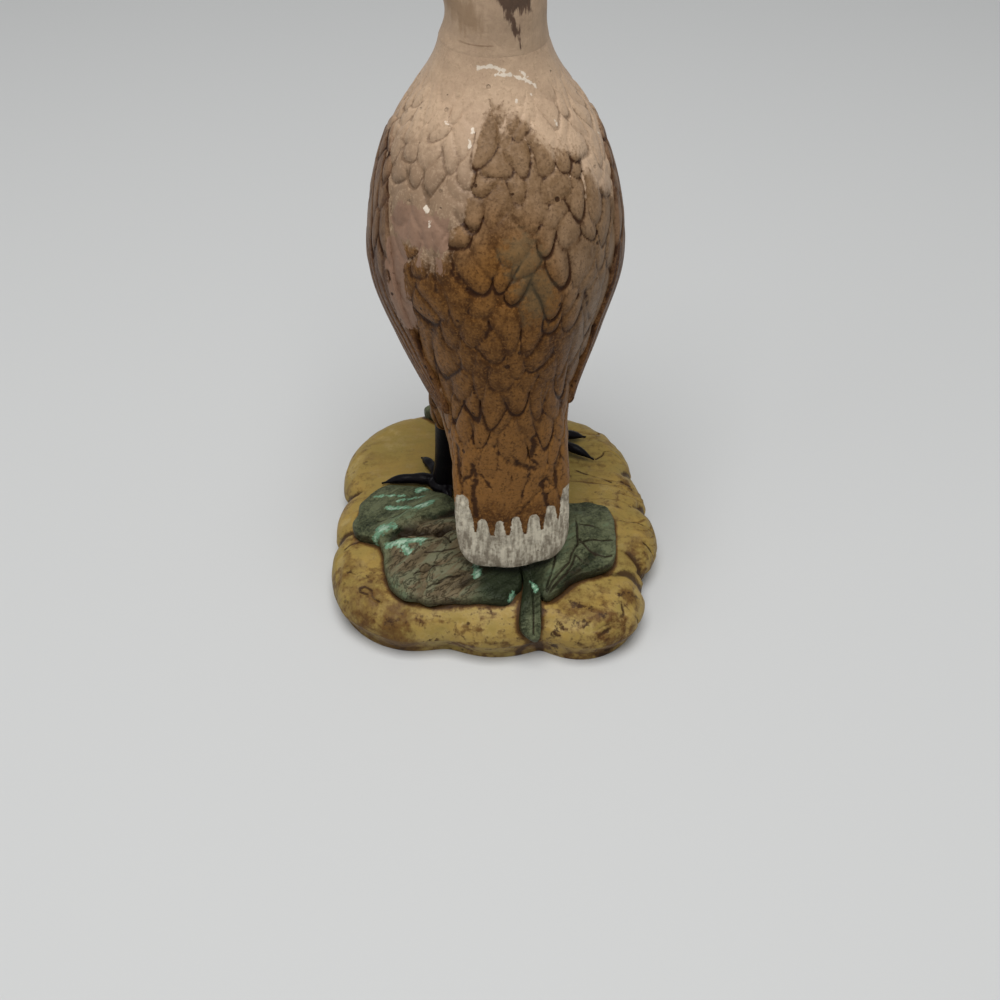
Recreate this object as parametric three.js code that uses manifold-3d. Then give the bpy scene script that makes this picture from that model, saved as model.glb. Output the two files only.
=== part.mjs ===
// Ceramic quail on a rock base: slip-cast pieces, luted together and painted cold.
// Millimetres. +Z is up, +Y is the way the bird faces and +X is to the right seen from behind.
// The origin is the middle of the rock's footprint, on the surface that it stands on.
import * as THREE from "three";
import { LoftGeometry } from "three/addons/geometries/LoftGeometry.js";
import { mergeVertices } from "three/addons/utils/BufferGeometryUtils.js";
import Module from "manifold-3d";

const wasm = await Module();
wasm.setup();

// Bed of slip between two luted pieces, how far a cut runs past the face it opens, and how near
// two corners of a skin lie when they are one
const LUTE_GAP = 0.3;
const CUT_PAST = 1;
const WELD = 1e-4;

// Rock base
const BASE_WIDTH = 99;
const BASE_DEPTH = 102;
const BASE_HEIGHT = 19;
const BASE_CROWN = 2.5;
const BULGE_HEIGHT = 7;
const FOOT_INSET = 3;
const EDGE_ROUND = 11;
const BASE_WALL = 5;
const BASE_FLOOR = 4;
const BASE_ROOF = 6.5;
const POUR_HOLE_DIAMETER = 26;

// Leaves on the rock
const LEAF_THICKNESS = 4;
const LEAF_EDGE = 1.6;
const STEM_WIDTH = 5.5;
const STEM_THICKNESS = 2.6;
const LEAF_SINK = 2;

// Bird's stance
const BIRD_YAW = 8;
const BIRD_SHIFT = 0.5;
const LEFT_FOOT = { x: -16, y: 4.5 };
const RIGHT_FOOT = { x: 13, y: 25 };
const LEG_DIAMETER = 6.6;
const LEG_SOCKET_DEPTH = 4;
const THIGH_DROP = 3;
const THIGH_TOP_DIAMETER = 14;
const THIGH_END_DIAMETER = 8.8;
const THIGH_RISE = 24;
const THIGH_FORWARD = 8;
const TOE_LENGTH = 18;
const TOE_DIAMETER = 4.2;
const TOE_TIP_DIAMETER = 1.2;

// Body and tail
const BELLY_CLEARANCE = 27;
const BODY_HEIGHT = 107;
const BODY_WIDTH = 59.5;
const BODY_DEPTH = 71;
const BODY_CENTRE_Y = 3;
const BODY_WALL = 4;
const VENT_DIAMETER = 12;
const VENT_Y = 9;
const NECK_DIAMETER = 23.5;
const NECK_CENTRE_Y = 6;
const TAIL_WIDTH = 31;
const TAIL_DROP = 22.5;
const TAIL_THICKNESS = 4.5;
const TAIL_TENON_WIDTH = 12;
const TAIL_TENON_DEPTH = 6;
const TAIL_TENON_LENGTH = 2.5;
const WING_THICKNESS = 2;
const WING_EDGE = 0.9;

// Head
const HEAD_TURN = 20;
const HEAD_HEIGHT = 43.5;
const HEAD_WIDTH = 27.5;
const HEAD_LENGTH = 31;
const HEAD_WALL = 3.5;
const SPIGOT_LENGTH = 8;
const SPIGOT_WALL = 2.5;
const EYE_DIAMETER = 5.4;
const BEAK_LENGTH = 11;
const BEAK_WIDTH = 8.6;
const BEAK_HEIGHT = 8;
const BEAK_HOOK = 3;
const TOPKNOT_HEIGHT = 12;
const TOPKNOT_REACH = 11;
const TOPKNOT_DIAMETER = 6;

// Facets around and along the castings
const ROCK_COLUMNS = 60;
const BODY_COLUMNS = 36;
const BODY_ROWS = 26;
const TAIL_ROWS = 10;
const PAD_COLUMNS = 28;
const ROUND_COLUMNS = 16;
const TOE_COLUMNS = 8;

const radians = THREE.MathUtils.degToRad;
const lerp = THREE.MathUtils.lerp;
const point = (x, y, z) => new THREE.Vector3(x, y, z);

// Solids

function solid(geometry) {
  const bare = new THREE.BufferGeometry();
  bare.setAttribute("position", geometry.getAttribute("position"));
  if (geometry.index) bare.setIndex(geometry.index);
  const welded = mergeVertices(bare, WELD);
  const corners = welded.index.array;
  const triVerts = [];
  for (let i = 0; i < corners.length; i += 3) {
    const [a, b, c] = corners.slice(i, i + 3);
    if (a !== b && b !== c && c !== a) triVerts.push(a, b, c);
  }
  const mesh = new wasm.Mesh({
    numProp: 3,
    vertProperties: new Float32Array(welded.getAttribute("position").array),
    triVerts: new Uint32Array(triVerts),
  });
  return new wasm.Manifold(mesh);
}

function geometryOf(made) {
  const mesh = made.getMesh();
  const geometry = new THREE.BufferGeometry();
  geometry.setAttribute("position", new THREE.BufferAttribute(mesh.vertProperties, 3));
  geometry.setIndex(new THREE.BufferAttribute(mesh.triVerts, 1));
  geometry.computeVertexNormals();
  return geometry;
}

// All of a ring's points drawn together at its middle.
function pole(ring) {
  const middle = ring.reduce((sum, p) => sum.add(p), point(0, 0, 0)).divideScalar(ring.length);
  return ring.map(() => middle);
}

// A closed skin over rings of points, each ring counterclockwise seen from the last one.
function loft(rings) {
  return solid(new LoftGeometry([pole(rings[0]), ...rings, pole(rings.at(-1))]));
}

// Points round a circle, counterclockwise from +X.
function circle(radius, columns = ROUND_COLUMNS) {
  return Array.from({ length: columns }, (_, i) => {
    const turn = (i / columns) * 2 * Math.PI;
    return new THREE.Vector2(radius * Math.cos(turn), radius * Math.sin(turn));
  });
}

// A straight round rod between two points.
function rod(from, to, fromRadius, toRadius, columns = ROUND_COLUMNS) {
  const along = to.clone().sub(from);
  const geometry = new THREE.CylinderGeometry(toRadius, fromRadius, along.length(), columns);
  const turn = new THREE.Quaternion().setFromUnitVectors(point(0, 1, 0), along.clone().normalize());
  geometry.applyQuaternion(turn);
  const middle = from.clone().add(to).multiplyScalar(0.5);
  geometry.translate(middle.x, middle.y, middle.z);
  return solid(geometry);
}

function ball(centre, radius, flat = 1) {
  const geometry = new THREE.SphereGeometry(radius, ROUND_COLUMNS, ROUND_COLUMNS / 2);
  geometry.rotateX(Math.PI / 2);
  geometry.scale(1, 1, flat);
  geometry.translate(centre.x, centre.y, centre.z);
  return solid(geometry);
}

// Rock base

// Boulders seen in plan: centre and radius as shares of half the rock's width and depth.
const BOULDERS = [
  { x: -0.06, y: 0.22, r: 0.78 },
  { x: -0.44, y: 0.35, r: 0.56 },
  { x: -0.57, y: -0.1, r: 0.43 },
  { x: -0.48, y: -0.43, r: 0.52 },
  { x: 0, y: -0.38, r: 0.62 },
  { x: 0.5, y: -0.64, r: 0.37 },
  { x: 0.55, y: -0.48, r: 0.33 },
  { x: 0.61, y: -0.18, r: 0.39 },
  { x: 0.53, y: 0.08, r: 0.42 },
  { x: 0.36, y: 0.37, r: 0.53 },
];
const NOTCH_SHARPNESS = 34;

// How far the boulders reach from the middle at an angle, blended where two of them meet.
function boulderReach(angle) {
  let sum = 0;
  for (const { x, y, r } of BOULDERS) {
    const along = x * Math.cos(angle) + y * Math.sin(angle);
    const across = x * Math.sin(angle) - y * Math.cos(angle);
    const inside = r * r - across * across;
    if (inside > 0) sum += Math.exp(NOTCH_SHARPNESS * (along + Math.sqrt(inside)));
  }
  return Math.log(sum) / NOTCH_SHARPNESS;
}

// The outline fitted to the rock's width and depth, with its middle on the origin.
const rockAngles = Array.from({ length: ROCK_COLUMNS }, (_, i) => (i / ROCK_COLUMNS) * 2 * Math.PI);
const rockOutline = rockAngles.map((a) =>
  new THREE.Vector2(Math.cos(a), Math.sin(a)).multiplyScalar(boulderReach(a)),
);
const outlineBox = new THREE.Box2().setFromPoints(rockOutline);
const outlineSize = outlineBox.getSize(new THREE.Vector2());
const outlineMiddle = outlineBox.getCenter(new THREE.Vector2());
for (const p of rockOutline) {
  p.sub(outlineMiddle);
  p.set((p.x * BASE_WIDTH) / outlineSize.x, (p.y * BASE_DEPTH) / outlineSize.y);
}

const edgeTop = BASE_HEIGHT - BASE_CROWN;
const EDGE_STEPS = 4;
const PLATEAU_SHARES = [0.72, 0.44, 0.16];

// One ring of the rock: every outline point drawn in by an inset, then shrunk by a share.
function rockRing(inset, share, height) {
  return rockOutline.map((p) => {
    const reach = Math.max(p.length() - inset, 0) * share;
    const flat = p.clone().setLength(reach);
    return point(flat.x, flat.y, height);
  });
}

// The rock's outer skin, grown outwards to cut its bed into what lies on it.
function rock(grow = 0) {
  const rings = [rockRing(FOOT_INSET, PLATEAU_SHARES.at(-1), 0), rockRing(FOOT_INSET - grow, 1, 0)];
  for (let i = 0; i <= EDGE_STEPS; i += 1) {
    const turn = ((i / EDGE_STEPS) * Math.PI) / 2;
    const inset = EDGE_ROUND * (1 - Math.cos(turn));
    const rise = BULGE_HEIGHT + (edgeTop - BULGE_HEIGHT) * Math.sin(turn);
    rings.push(rockRing(inset - grow, 1, rise + (i ? grow : 0)));
  }
  for (const share of PLATEAU_SHARES) {
    const rise = edgeTop + BASE_CROWN * (1 - share * share);
    rings.push(rockRing(EDGE_ROUND - grow, share, rise + grow));
  }
  return loft(rings);
}

// Distance from the middle to the rock's widest line, in the direction of a plan point.
function rimReach(x, y) {
  const way = new THREE.Vector2(x, y);
  if (way.length() === 0) return rockOutline[0].length();
  way.normalize();
  for (let i = 0; i < ROCK_COLUMNS; i += 1) {
    const from = rockOutline[i];
    const to = rockOutline[(i + 1) % ROCK_COLUMNS];
    const before = from.cross(way);
    const after = way.cross(to);
    if (before >= 0 && after > 0 && from.dot(way) > 0) return from.cross(to) / (before + after);
  }
  return rockOutline[0].length();
}

// Height of the rock's upper skin over a plan point.
function rockTop(x, y) {
  const inner = rimReach(x, y) - EDGE_ROUND;
  const reach = Math.hypot(x, y);
  if (reach <= inner) {
    const share = reach / inner;
    return edgeTop + BASE_CROWN * (1 - share * share);
  }
  const out = Math.min((reach - inner) / EDGE_ROUND, 1);
  return BULGE_HEIGHT + (edgeTop - BULGE_HEIGHT) * Math.sqrt(1 - out * out);
}

function rockHollow() {
  const roof = BASE_HEIGHT - BASE_ROOF;
  const low = rockRing(FOOT_INSET + BASE_WALL, 1, BASE_FLOOR);
  const high = rockRing(EDGE_ROUND / 2 + BASE_WALL, 1, roof);
  return loft([low, high]);
}

const onRock = (foot, rise = 0) => point(foot.x, foot.y, rockTop(foot.x, foot.y) + rise);

// A point square off the rock's upper skin, over a plan point.
function offRock(p, off) {
  const step = LUTE_GAP;
  const slopeX = (rockTop(p.x + step, p.y) - rockTop(p.x - step, p.y)) / (2 * step);
  const slopeY = (rockTop(p.x, p.y + step) - rockTop(p.x, p.y - step)) / (2 * step);
  return onRock(p).addScaledVector(point(-slopeX, -slopeY, 1).normalize(), off);
}

// Bird's skin: tail and body are one run of sections, cut apart at the tail joint

const bellyZ = BASE_HEIGHT + BELLY_CLEARANCE;
const tailTipZ = bellyZ - TAIL_DROP;
const neckZ = bellyZ + BODY_HEIGHT;
const backY = BODY_CENTRE_Y - BODY_DEPTH / 2;

// A section through tail, body or neck: half width, then its back and front ends in the plane x = 0.
const section = (half, back, front) => ({ half, back, front });

// Tail sections: share of the tail's width, share of the drop above its tip, then how many
// thicknesses its back lies inside the body's back line and how many thicknesses deep it is.
const TAIL_SLANT = 0.45;
const tailSections = [
  [0.28, 0.0, -0.49, 0.55],
  [0.72, 0.08, -0.49, 0.75],
  [0.93, 0.27, -0.36, 1.0],
  [1.0, 0.65, -0.09, 1.3],
  [1.0, 1.15, 0.18, 2.0],
].map(([width, rise, inside, deep]) => {
  const y = backY + inside * TAIL_THICKNESS;
  const z = tailTipZ + rise * TAIL_DROP;
  const depth = deep * TAIL_THICKNESS;
  return section((width * TAIL_WIDTH) / 2, [y, z], [y + depth, z - TAIL_SLANT * depth]);
});

// Body sections: share of the body's width, then back and front ends as shares of its depth
// (from the back line) and of its height (from the belly).
const bodySections = [
  [0.53, 0.02, 0.2, 0.32, 0.025],
  [0.61, 0.01, 0.33, 0.66, 0.0],
  [0.82, 0.0, 0.46, 0.91, 0.15],
  [1.0, 0.01, 0.58, 1.0, 0.39],
  [0.98, 0.07, 0.71, 0.985, 0.62],
  [0.83, 0.19, 0.83, 0.9, 0.79],
].map(([width, backShare, backRise, frontShare, frontRise]) =>
  section(
    (width * BODY_WIDTH) / 2,
    [backY + backShare * BODY_DEPTH, bellyZ + backRise * BODY_HEIGHT],
    [backY + frontShare * BODY_DEPTH, bellyZ + frontRise * BODY_HEIGHT],
  ),
);

// Neck sections: share of the neck's diameter and of the body's height below the neck joint.
const neckSections = [
  [1.36, 0.07],
  [1.0, 0.0],
].map(([width, below]) => {
  const half = (width * NECK_DIAMETER) / 2;
  const z = neckZ - below * BODY_HEIGHT;
  return section(half, [NECK_CENTRE_Y - half, z], [NECK_CENTRE_Y + half, z]);
});

// Smooth lines through the back ends and the front ends of a run of sections.
function skinOf(sections) {
  const line = (end) =>
    new THREE.CatmullRomCurve3(sections.map((s) => point(s.half, s[end][0], s[end][1])));
  return { back: line("back"), front: line("front") };
}

// A point of a skin: u runs from the first section to the last, turn is 0 at the back and
// grows towards the right, and grow moves the point outwards.
function skinPoint(skin, u, turn, grow = 0) {
  const back = skin.back.getPoint(u);
  const front = skin.front.getPoint(u);
  const half = back.x + grow;
  const deep = point(0, front.y - back.y, front.z - back.z);
  const middle = point(0, (front.y + back.y) / 2, (front.z + back.z) / 2);
  const reach = deep.length() / 2 + grow;
  const spot = middle.addScaledVector(deep.normalize(), -Math.cos(turn) * reach);
  spot.x = half * Math.sin(turn);
  return spot;
}

function skinRing(skin, u, grow, columns) {
  return Array.from({ length: columns }, (_, i) =>
    skinPoint(skin, u, (i / columns) * 2 * Math.PI, grow),
  );
}

function skinRings(skin, from, to, rows, grow = 0, columns = BODY_COLUMNS) {
  return Array.from({ length: rows + 1 }, (_, i) =>
    skinRing(skin, lerp(from, to, i / rows), grow, columns),
  );
}

const shifted = (ring, by) => ring.map((p) => p.clone().add(by));

const birdSections = [...tailSections, ...bodySections, ...neckSections];
const birdSkin = skinOf(birdSections);
const stationAt = (index) => index / (birdSections.length - 1);
const tailJoint = stationAt(tailSections.length - 1);

// The way along the tail at its joint, square to the joint's face.
const jointBack = birdSkin.back.getPoint(tailJoint);
const jointFront = birdSkin.front.getPoint(tailJoint);
const jointDeep = point(0, jointFront.y - jointBack.y, jointFront.z - jointBack.z).normalize();
const jointUp = point(1, 0, 0).cross(jointDeep).normalize();
const jointMiddle = point(0, (jointFront.y + jointBack.y) / 2, (jointFront.z + jointBack.z) / 2);

// The tenon on the tail's joint face, grown to make its mortise in the body.
function tailTenon(grow) {
  const geometry = new THREE.BoxGeometry(
    TAIL_TENON_WIDTH + 2 * grow,
    TAIL_TENON_DEPTH + 2 * grow,
    2 * (TAIL_TENON_LENGTH + LUTE_GAP + grow),
  );
  const frame = new THREE.Matrix4().makeBasis(point(1, 0, 0), jointDeep, jointUp);
  geometry.applyMatrix4(frame.setPosition(jointMiddle));
  return solid(geometry);
}

// The body's outer skin, grown to cut seats into what is luted onto it.
function bodyOuter(grow = 0) {
  return loft(skinRings(birdSkin, tailJoint, 1, BODY_ROWS, grow));
}

const HOLLOW_START = 0.62;
const HOLLOW_COLUMNS = 24;
const HOLLOW_ROWS = 14;

// The hollow that the slip drained from, open at the neck.
function bodyHollow() {
  const start = lerp(tailJoint, stationAt(tailSections.length), HOLLOW_START);
  const rings = skinRings(birdSkin, start, 1, HOLLOW_ROWS, -BODY_WALL, HOLLOW_COLUMNS);
  rings.push(shifted(rings.at(-1), point(0, 0, BODY_WALL)));
  return loft(rings);
}

// The vent in the belly that lets steam out of the hollow in the kiln.
function bellyVent() {
  const radius = VENT_DIAMETER / 2;
  return rod(point(0, VENT_Y, bellyZ - CUT_PAST), point(0, VENT_Y, bellyZ + 2 * BODY_WALL), radius, radius);
}

function makeBody() {
  return bodyOuter().subtract(bodyHollow()).subtract(bellyVent()).subtract(tailTenon(LUTE_GAP));
}

function makeTail() {
  const rings = skinRings(birdSkin, 0, tailJoint, TAIL_ROWS);
  rings[TAIL_ROWS] = shifted(rings[TAIL_ROWS], jointUp.clone().multiplyScalar(-LUTE_GAP));
  return loft(rings).add(tailTenon(0));
}

// Wings: pads on the flanks, outlined by where they lie on the body's skin

// Right wing's outline, from the shoulder down the back edge to the tip and up the front edge:
// place along the body sections from tail joint to neck, and degrees round from the back.
const WING_OUTLINE = [
  [0.78, 94],
  [0.72, 72],
  [0.56, 62],
  [0.4, 60],
  [0.22, 63],
  [0.29, 86],
  [0.42, 106],
  [0.62, 120],
].map(([place, turn]) => new THREE.Vector2(place, turn));
const PAD_SHARES = [0.12, 0.45, 0.78, 1];

// A closed outline through a few points, sampled all the way round.
function closedOutline(points) {
  const curve = new THREE.CatmullRomCurve3(points.map((p) => point(p.x, p.y, 0)), true);
  return Array.from({ length: PAD_COLUMNS }, (_, i) => {
    const p = curve.getPoint(i / PAD_COLUMNS);
    return new THREE.Vector2(p.x, p.y);
  });
}

// A pad between two skins: rings over its under side from the middle out, then back over its top.
function pad(outline, under, top) {
  const middle = outline.reduce((sum, p) => sum.add(p), new THREE.Vector2());
  middle.divideScalar(outline.length);
  const ring = (share, place) =>
    outline.map((p) => place(middle.clone().lerp(p, share), share));
  const lower = PAD_SHARES.map((share) => ring(share, under));
  const upper = PAD_SHARES.map((share) => ring(share, top)).reverse();
  return loft([...lower, ...upper]);
}

function makeWing(side) {
  const place = (p, grow) =>
    skinPoint(birdSkin, lerp(tailJoint, 1, p.x), side * radians(p.y), grow);
  const outline = closedOutline(WING_OUTLINE);
  if (side < 0) outline.reverse();
  const made = pad(
    outline,
    (p) => place(p, -BODY_WALL / 2),
    (p, share) => place(p, LUTE_GAP + lerp(WING_THICKNESS, WING_EDGE, share * share)),
  );
  return made.subtract(bodyOuter(LUTE_GAP));
}

// Legs, thighs and feet

const thighEndZ = bellyZ - THIGH_DROP;
const legRadius = LEG_DIAMETER / 2;
const LEG_LEAN = 0.88;
const THIGH_LEAN = 0.6;
const THIGH_STEPS = [0, 0.35, 0.7, 1];

// Where a leg runs: from its socket in the rock, through the foot, into the thigh.
function legLine(foot) {
  const top = point(foot.x * LEG_LEAN, foot.y, thighEndZ + LEG_SOCKET_DEPTH);
  const ground = onRock(foot);
  const along = top.clone().sub(ground).normalize();
  return { ground, top, along, bottom: ground.clone().addScaledVector(along, -LEG_SOCKET_DEPTH) };
}

// The socket that a leg's end is luted into, open at both ends of the leg.
function legSocket(foot) {
  const { bottom, top, along } = legLine(foot);
  const from = bottom.clone().addScaledVector(along, -LUTE_GAP);
  const to = top.clone().addScaledVector(along, LUTE_GAP);
  return rod(from, to, legRadius + LUTE_GAP, legRadius + LUTE_GAP);
}

function makeLeg(foot) {
  const { bottom, top } = legLine(foot);
  return rod(bottom, top, legRadius, legRadius);
}

// A feathered thigh: it swells upwards and seats on the belly.
function makeThigh(foot) {
  const end = legLine(foot).top.clone().setZ(thighEndZ);
  const rings = THIGH_STEPS.map((step) => {
    const swell = Math.sin((step * Math.PI) / 2);
    const radius = lerp(THIGH_END_DIAMETER, THIGH_TOP_DIAMETER, swell) / 2;
    const lean = step * step;
    const x = end.x * lerp(1, THIGH_LEAN, lean);
    const y = lerp(end.y, (end.y + BODY_CENTRE_Y + THIGH_FORWARD) / 2, lean);
    return circle(radius).map((p) => point(x + p.x, y + p.y, end.z + step * THIGH_RISE));
  });
  return loft(rings).subtract(inBird(bodyOuter(LUTE_GAP))).subtract(legSocket(foot));
}

// Toes as degrees from +X, with their share of the toe length: outer, middle, inner and hind.
const LEFT_TOES = [
  [174, 1.08],
  [121, 0.82],
  [62, 0.9],
  [283, 0.5],
];
const RIGHT_TOES = [
  [-24, 1.08],
  [12, 0.9],
  [98, 0.9],
  [222, 0.5],
];
const HUB_SHARE = 1.5;
const HUB_FLAT = 0.62;
const TOE_LIFT = 0.3;

// A foot without its bed: a flattened hub round the leg, and tapering toes along the rock.
function footShape(foot, toes, grow = 0) {
  const rise = TOE_DIAMETER * TOE_LIFT;
  let made = ball(onRock(foot, rise), legRadius * HUB_SHARE + grow, HUB_FLAT);
  for (const [turn, share] of toes) {
    const reach = TOE_LENGTH * share;
    const tip = {
      x: foot.x + reach * Math.cos(radians(turn)),
      y: foot.y + reach * Math.sin(radians(turn)),
    };
    const tipRise = TOE_TIP_DIAMETER / 2;
    const toe = [onRock(foot, rise), onRock(tip, tipRise)];
    made = made.add(rod(...toe, TOE_DIAMETER / 2 + grow, TOE_TIP_DIAMETER / 2 + grow, TOE_COLUMNS));
  }
  return made;
}

function makeFoot(foot, toes) {
  return footShape(foot, toes).subtract(rock(LUTE_GAP)).subtract(legSocket(foot));
}

// Leaves: pads on the rock, outlined in plan as shares of half the rock's width and depth

const onPlan = ([x, y]) => new THREE.Vector2((x * BASE_WIDTH) / 2, (y * BASE_DEPTH) / 2);
const LEFT_LEAF = [
  [-0.34, -0.02],
  [-0.72, 0.06],
  [-0.84, -0.3],
  [-0.68, -0.4],
  [-0.62, -0.66],
  [-0.5, -0.79],
  [-0.15, -0.81],
  [0.1, -0.8],
  [0.12, -0.42],
  [-0.1, -0.2],
].map(onPlan);
const RIGHT_LEAF = [
  [0.3, -0.14],
  [0.46, -0.1],
  [0.66, -0.12],
  [0.7, -0.38],
  [0.66, -0.56],
  [0.46, -0.66],
  [0.27, -0.8],
  [0.2, -0.6],
].map(onPlan);
const FRONT_LEAF = [
  [-0.49, 0.82],
  [-0.4, 0.72],
  [-0.2, 0.64],
  [0.0, 0.68],
  [0.06, 0.82],
  [-0.16, 0.89],
  [-0.38, 0.88],
].map(onPlan);
const STEM_LINE = [
  [0.16, -0.5],
  [0.2, -0.68],
  [0.185, -0.94],
].map(onPlan);

// A leaf's outline pushed out from its own middle.
function grownOutline(outline, grow) {
  const middle = outline.reduce((sum, p) => sum.add(p), new THREE.Vector2());
  middle.divideScalar(outline.length);
  return outline.map((p) => {
    const out = p.clone().sub(middle);
    return middle.clone().add(out.setLength(out.length() + grow));
  });
}

function leafPad(points, middleThickness, edge, grow = 0) {
  const outline = grownOutline(closedOutline(points), grow);
  if (THREE.ShapeUtils.isClockWise(outline)) outline.reverse();
  return pad(
    outline,
    (p) => offRock(p, -LEAF_SINK),
    (p, share) => offRock(p, LUTE_GAP + lerp(middleThickness, edge, share * share) + grow),
  );
}

// The stem's outline: its line widened to both sides.
function stemOutline() {
  const half = STEM_WIDTH / 2;
  const side = (sign) => STEM_LINE.map((p) => new THREE.Vector2(p.x + sign * half, p.y));
  return [...side(1), ...side(-1).reverse()];
}

const stemPad = (grow) => leafPad(stemOutline(), STEM_THICKNESS, LEAF_EDGE, grow);

function makeLeaf(points, neighbours) {
  let made = leafPad(points, LEAF_THICKNESS, LEAF_EDGE).subtract(rock(LUTE_GAP));
  for (const neighbour of neighbours) made = made.subtract(neighbour);
  return made;
}

// Head

const neckCentre = point(0, NECK_CENTRE_Y, neckZ);

// Head sections: share of the head's width, then back and front ends as shares of its length
// from the neck's centre and of its height above the neck joint.
const headSections = [
  [NECK_DIAMETER / HEAD_WIDTH, -NECK_DIAMETER / 2 / HEAD_LENGTH, 0, NECK_DIAMETER / 2 / HEAD_LENGTH, 0],
  [0.81, -0.39, 0.18, 0.32, 0.14],
  [0.88, -0.37, 0.36, 0.45, 0.28],
  [0.99, -0.41, 0.54, 0.58, 0.42],
  [1.0, -0.37, 0.73, 0.61, 0.59],
  [0.86, -0.23, 0.89, 0.56, 0.77],
  [0.56, -0.02, 0.975, 0.43, 0.91],
  [0.2, 0.14, 1.0, 0.28, 0.98],
].map(([width, backShare, backRise, frontShare, frontRise]) =>
  section(
    (width * HEAD_WIDTH) / 2,
    [backShare * HEAD_LENGTH, backRise * HEAD_HEIGHT],
    [frontShare * HEAD_LENGTH, frontRise * HEAD_HEIGHT],
  ),
);
const headSkin = skinOf(headSections);
const HEAD_ROWS = 16;
const HEAD_COLUMNS = 28;
const HEAD_HOLLOW = [0.1, 0.82];

// The head's skin in its own frame, with the neck's centre at the origin.
const headOuter = (grow = 0) => loft(skinRings(headSkin, 0, 1, HEAD_ROWS, grow, HEAD_COLUMNS));

// The head with the spigot that drops into the body's neck, hollow like the body.
function makeHead() {
  const radius = NECK_DIAMETER / 2 - BODY_WALL - LUTE_GAP;
  const drainRadius = radius - SPIGOT_WALL;
  const low = point(0, 0, -SPIGOT_LENGTH);
  const high = point(0, 0, 2 * HEAD_WALL);
  const spigot = rod(low, high, radius, radius, HEAD_COLUMNS);
  const drain = rod(low.clone().setZ(low.z - CUT_PAST), high, drainRadius, drainRadius, HEAD_COLUMNS);
  const rings = skinRings(headSkin, HEAD_HOLLOW[0], HEAD_HOLLOW[1], HEAD_ROWS, -HEAD_WALL, HEAD_COLUMNS);
  return headOuter().add(spigot).subtract(loft(rings)).subtract(drain);
}

const EYE_PLACE = 0.6;
const EYE_TURN = 112;
const EYE_SINK = 0.45;

function makeEye(side) {
  const radius = EYE_DIAMETER / 2;
  const centre = skinPoint(headSkin, EYE_PLACE, side * radians(EYE_TURN), -radius * EYE_SINK);
  return ball(centre, radius).subtract(headOuter(LUTE_GAP));
}

const BEAK_PLACE = 0.5;
const BEAK_ROOT = -0.5;
const LOWER_BEAK_SHARE = 0.82;
const UPPER_BEAK_SHARE = 0.62;

// How thick each step along the beak is, from its root in the face to its tip.
const BEAK_STEPS = [
  [BEAK_ROOT, 1.0],
  [0.1, 0.92],
  [0.55, 0.6],
  [0.85, 0.32],
  [1.0, 0.12],
];

// Half a beak, above or below a gape line that hooks down towards the tip.
function makeBeak(up) {
  const root = skinPoint(headSkin, BEAK_PLACE, Math.PI);
  const length = up > 0 ? BEAK_LENGTH : BEAK_LENGTH * LOWER_BEAK_SHARE;
  const tall = BEAK_HEIGHT * (up > 0 ? UPPER_BEAK_SHARE : 1 - UPPER_BEAK_SHARE);
  const rings = BEAK_STEPS.map(([step, size]) => {
    const reach = step * length;
    const gape = root.z - BEAK_HOOK * Math.max(reach / BEAK_LENGTH, 0) ** 3 + (up * LUTE_GAP) / 2;
    return Array.from({ length: ROUND_COLUMNS }, (_, i) => {
      const turn = (i / ROUND_COLUMNS) * 2 * Math.PI;
      const high = Math.max(Math.sin(turn) * up, 0) * up;
      const x = (-Math.cos(turn) * size * BEAK_WIDTH) / 2;
      return point(x, root.y + reach, gape + high * size * tall);
    });
  });
  return loft(rings).subtract(headOuter(LUTE_GAP));
}

const TOPKNOT_PLACE = 0.94;
const TOPKNOT_STEPS = [
  [-0.15, 0.0, 0.62],
  [0.3, -0.05, 0.55],
  [0.68, 0.1, 0.72],
  [0.95, 0.45, 1.0],
  [0.92, 0.8, 0.9],
  [0.78, 1.0, 0.3],
];

// The plume: a teardrop that rises from the crown and falls forwards.
function makeTopknot() {
  const root = skinPoint(headSkin, TOPKNOT_PLACE, Math.PI / 2).setX(0);
  const line = new THREE.CatmullRomCurve3(
    TOPKNOT_STEPS.map(([rise, reach]) =>
      point(0, root.y + reach * TOPKNOT_REACH, root.z + rise * TOPKNOT_HEIGHT),
    ),
  );
  const girth = new THREE.SplineCurve(
    TOPKNOT_STEPS.map(([, , size], i) => new THREE.Vector2(i, (size * TOPKNOT_DIAMETER) / 2)),
  );
  const rows = TOPKNOT_STEPS.length * 2;
  const rings = Array.from({ length: rows + 1 }, (_, k) => {
    const centre = line.getPoint(k / rows);
    const along = line.getTangent(k / rows);
    const out = along.cross(point(1, 0, 0)).normalize();
    const radius = girth.getPoint(k / rows).y;
    return circle(radius).map((p) => centre.clone().addScaledVector(out, p.y).setX(p.x));
  });
  return loft(rings).subtract(headOuter(LUTE_GAP));
}

// Paints

const paint = (color, roughness) => new THREE.MeshStandardMaterial({ color, roughness, metalness: 0 });
const ochre = paint(0xa8925a, 0.55);
const leafGreen = paint(0x4f6355, 0.45);
const featherBrown = paint(0x8a6a50, 0.6);
const tailBrown = paint(0x85603f, 0.6);
const headTan = paint(0xa98f76, 0.6);
const legBlack = paint(0x191715, 0.35);
const beakBlack = paint(0x2a2420, 0.4);
const eyeBlack = paint(0x0c0b0b, 0.15);

// Assembly

// The bird's own frame, turned on the rock.
const birdTurn = new THREE.Matrix4().makeRotationZ(radians(BIRD_YAW)).setPosition(BIRD_SHIFT, 0, 0);

// A solid of the bird's frame as it stands on the rock.
function inBird(made) {
  return solid(geometryOf(made).applyMatrix4(birdTurn));
}

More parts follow.
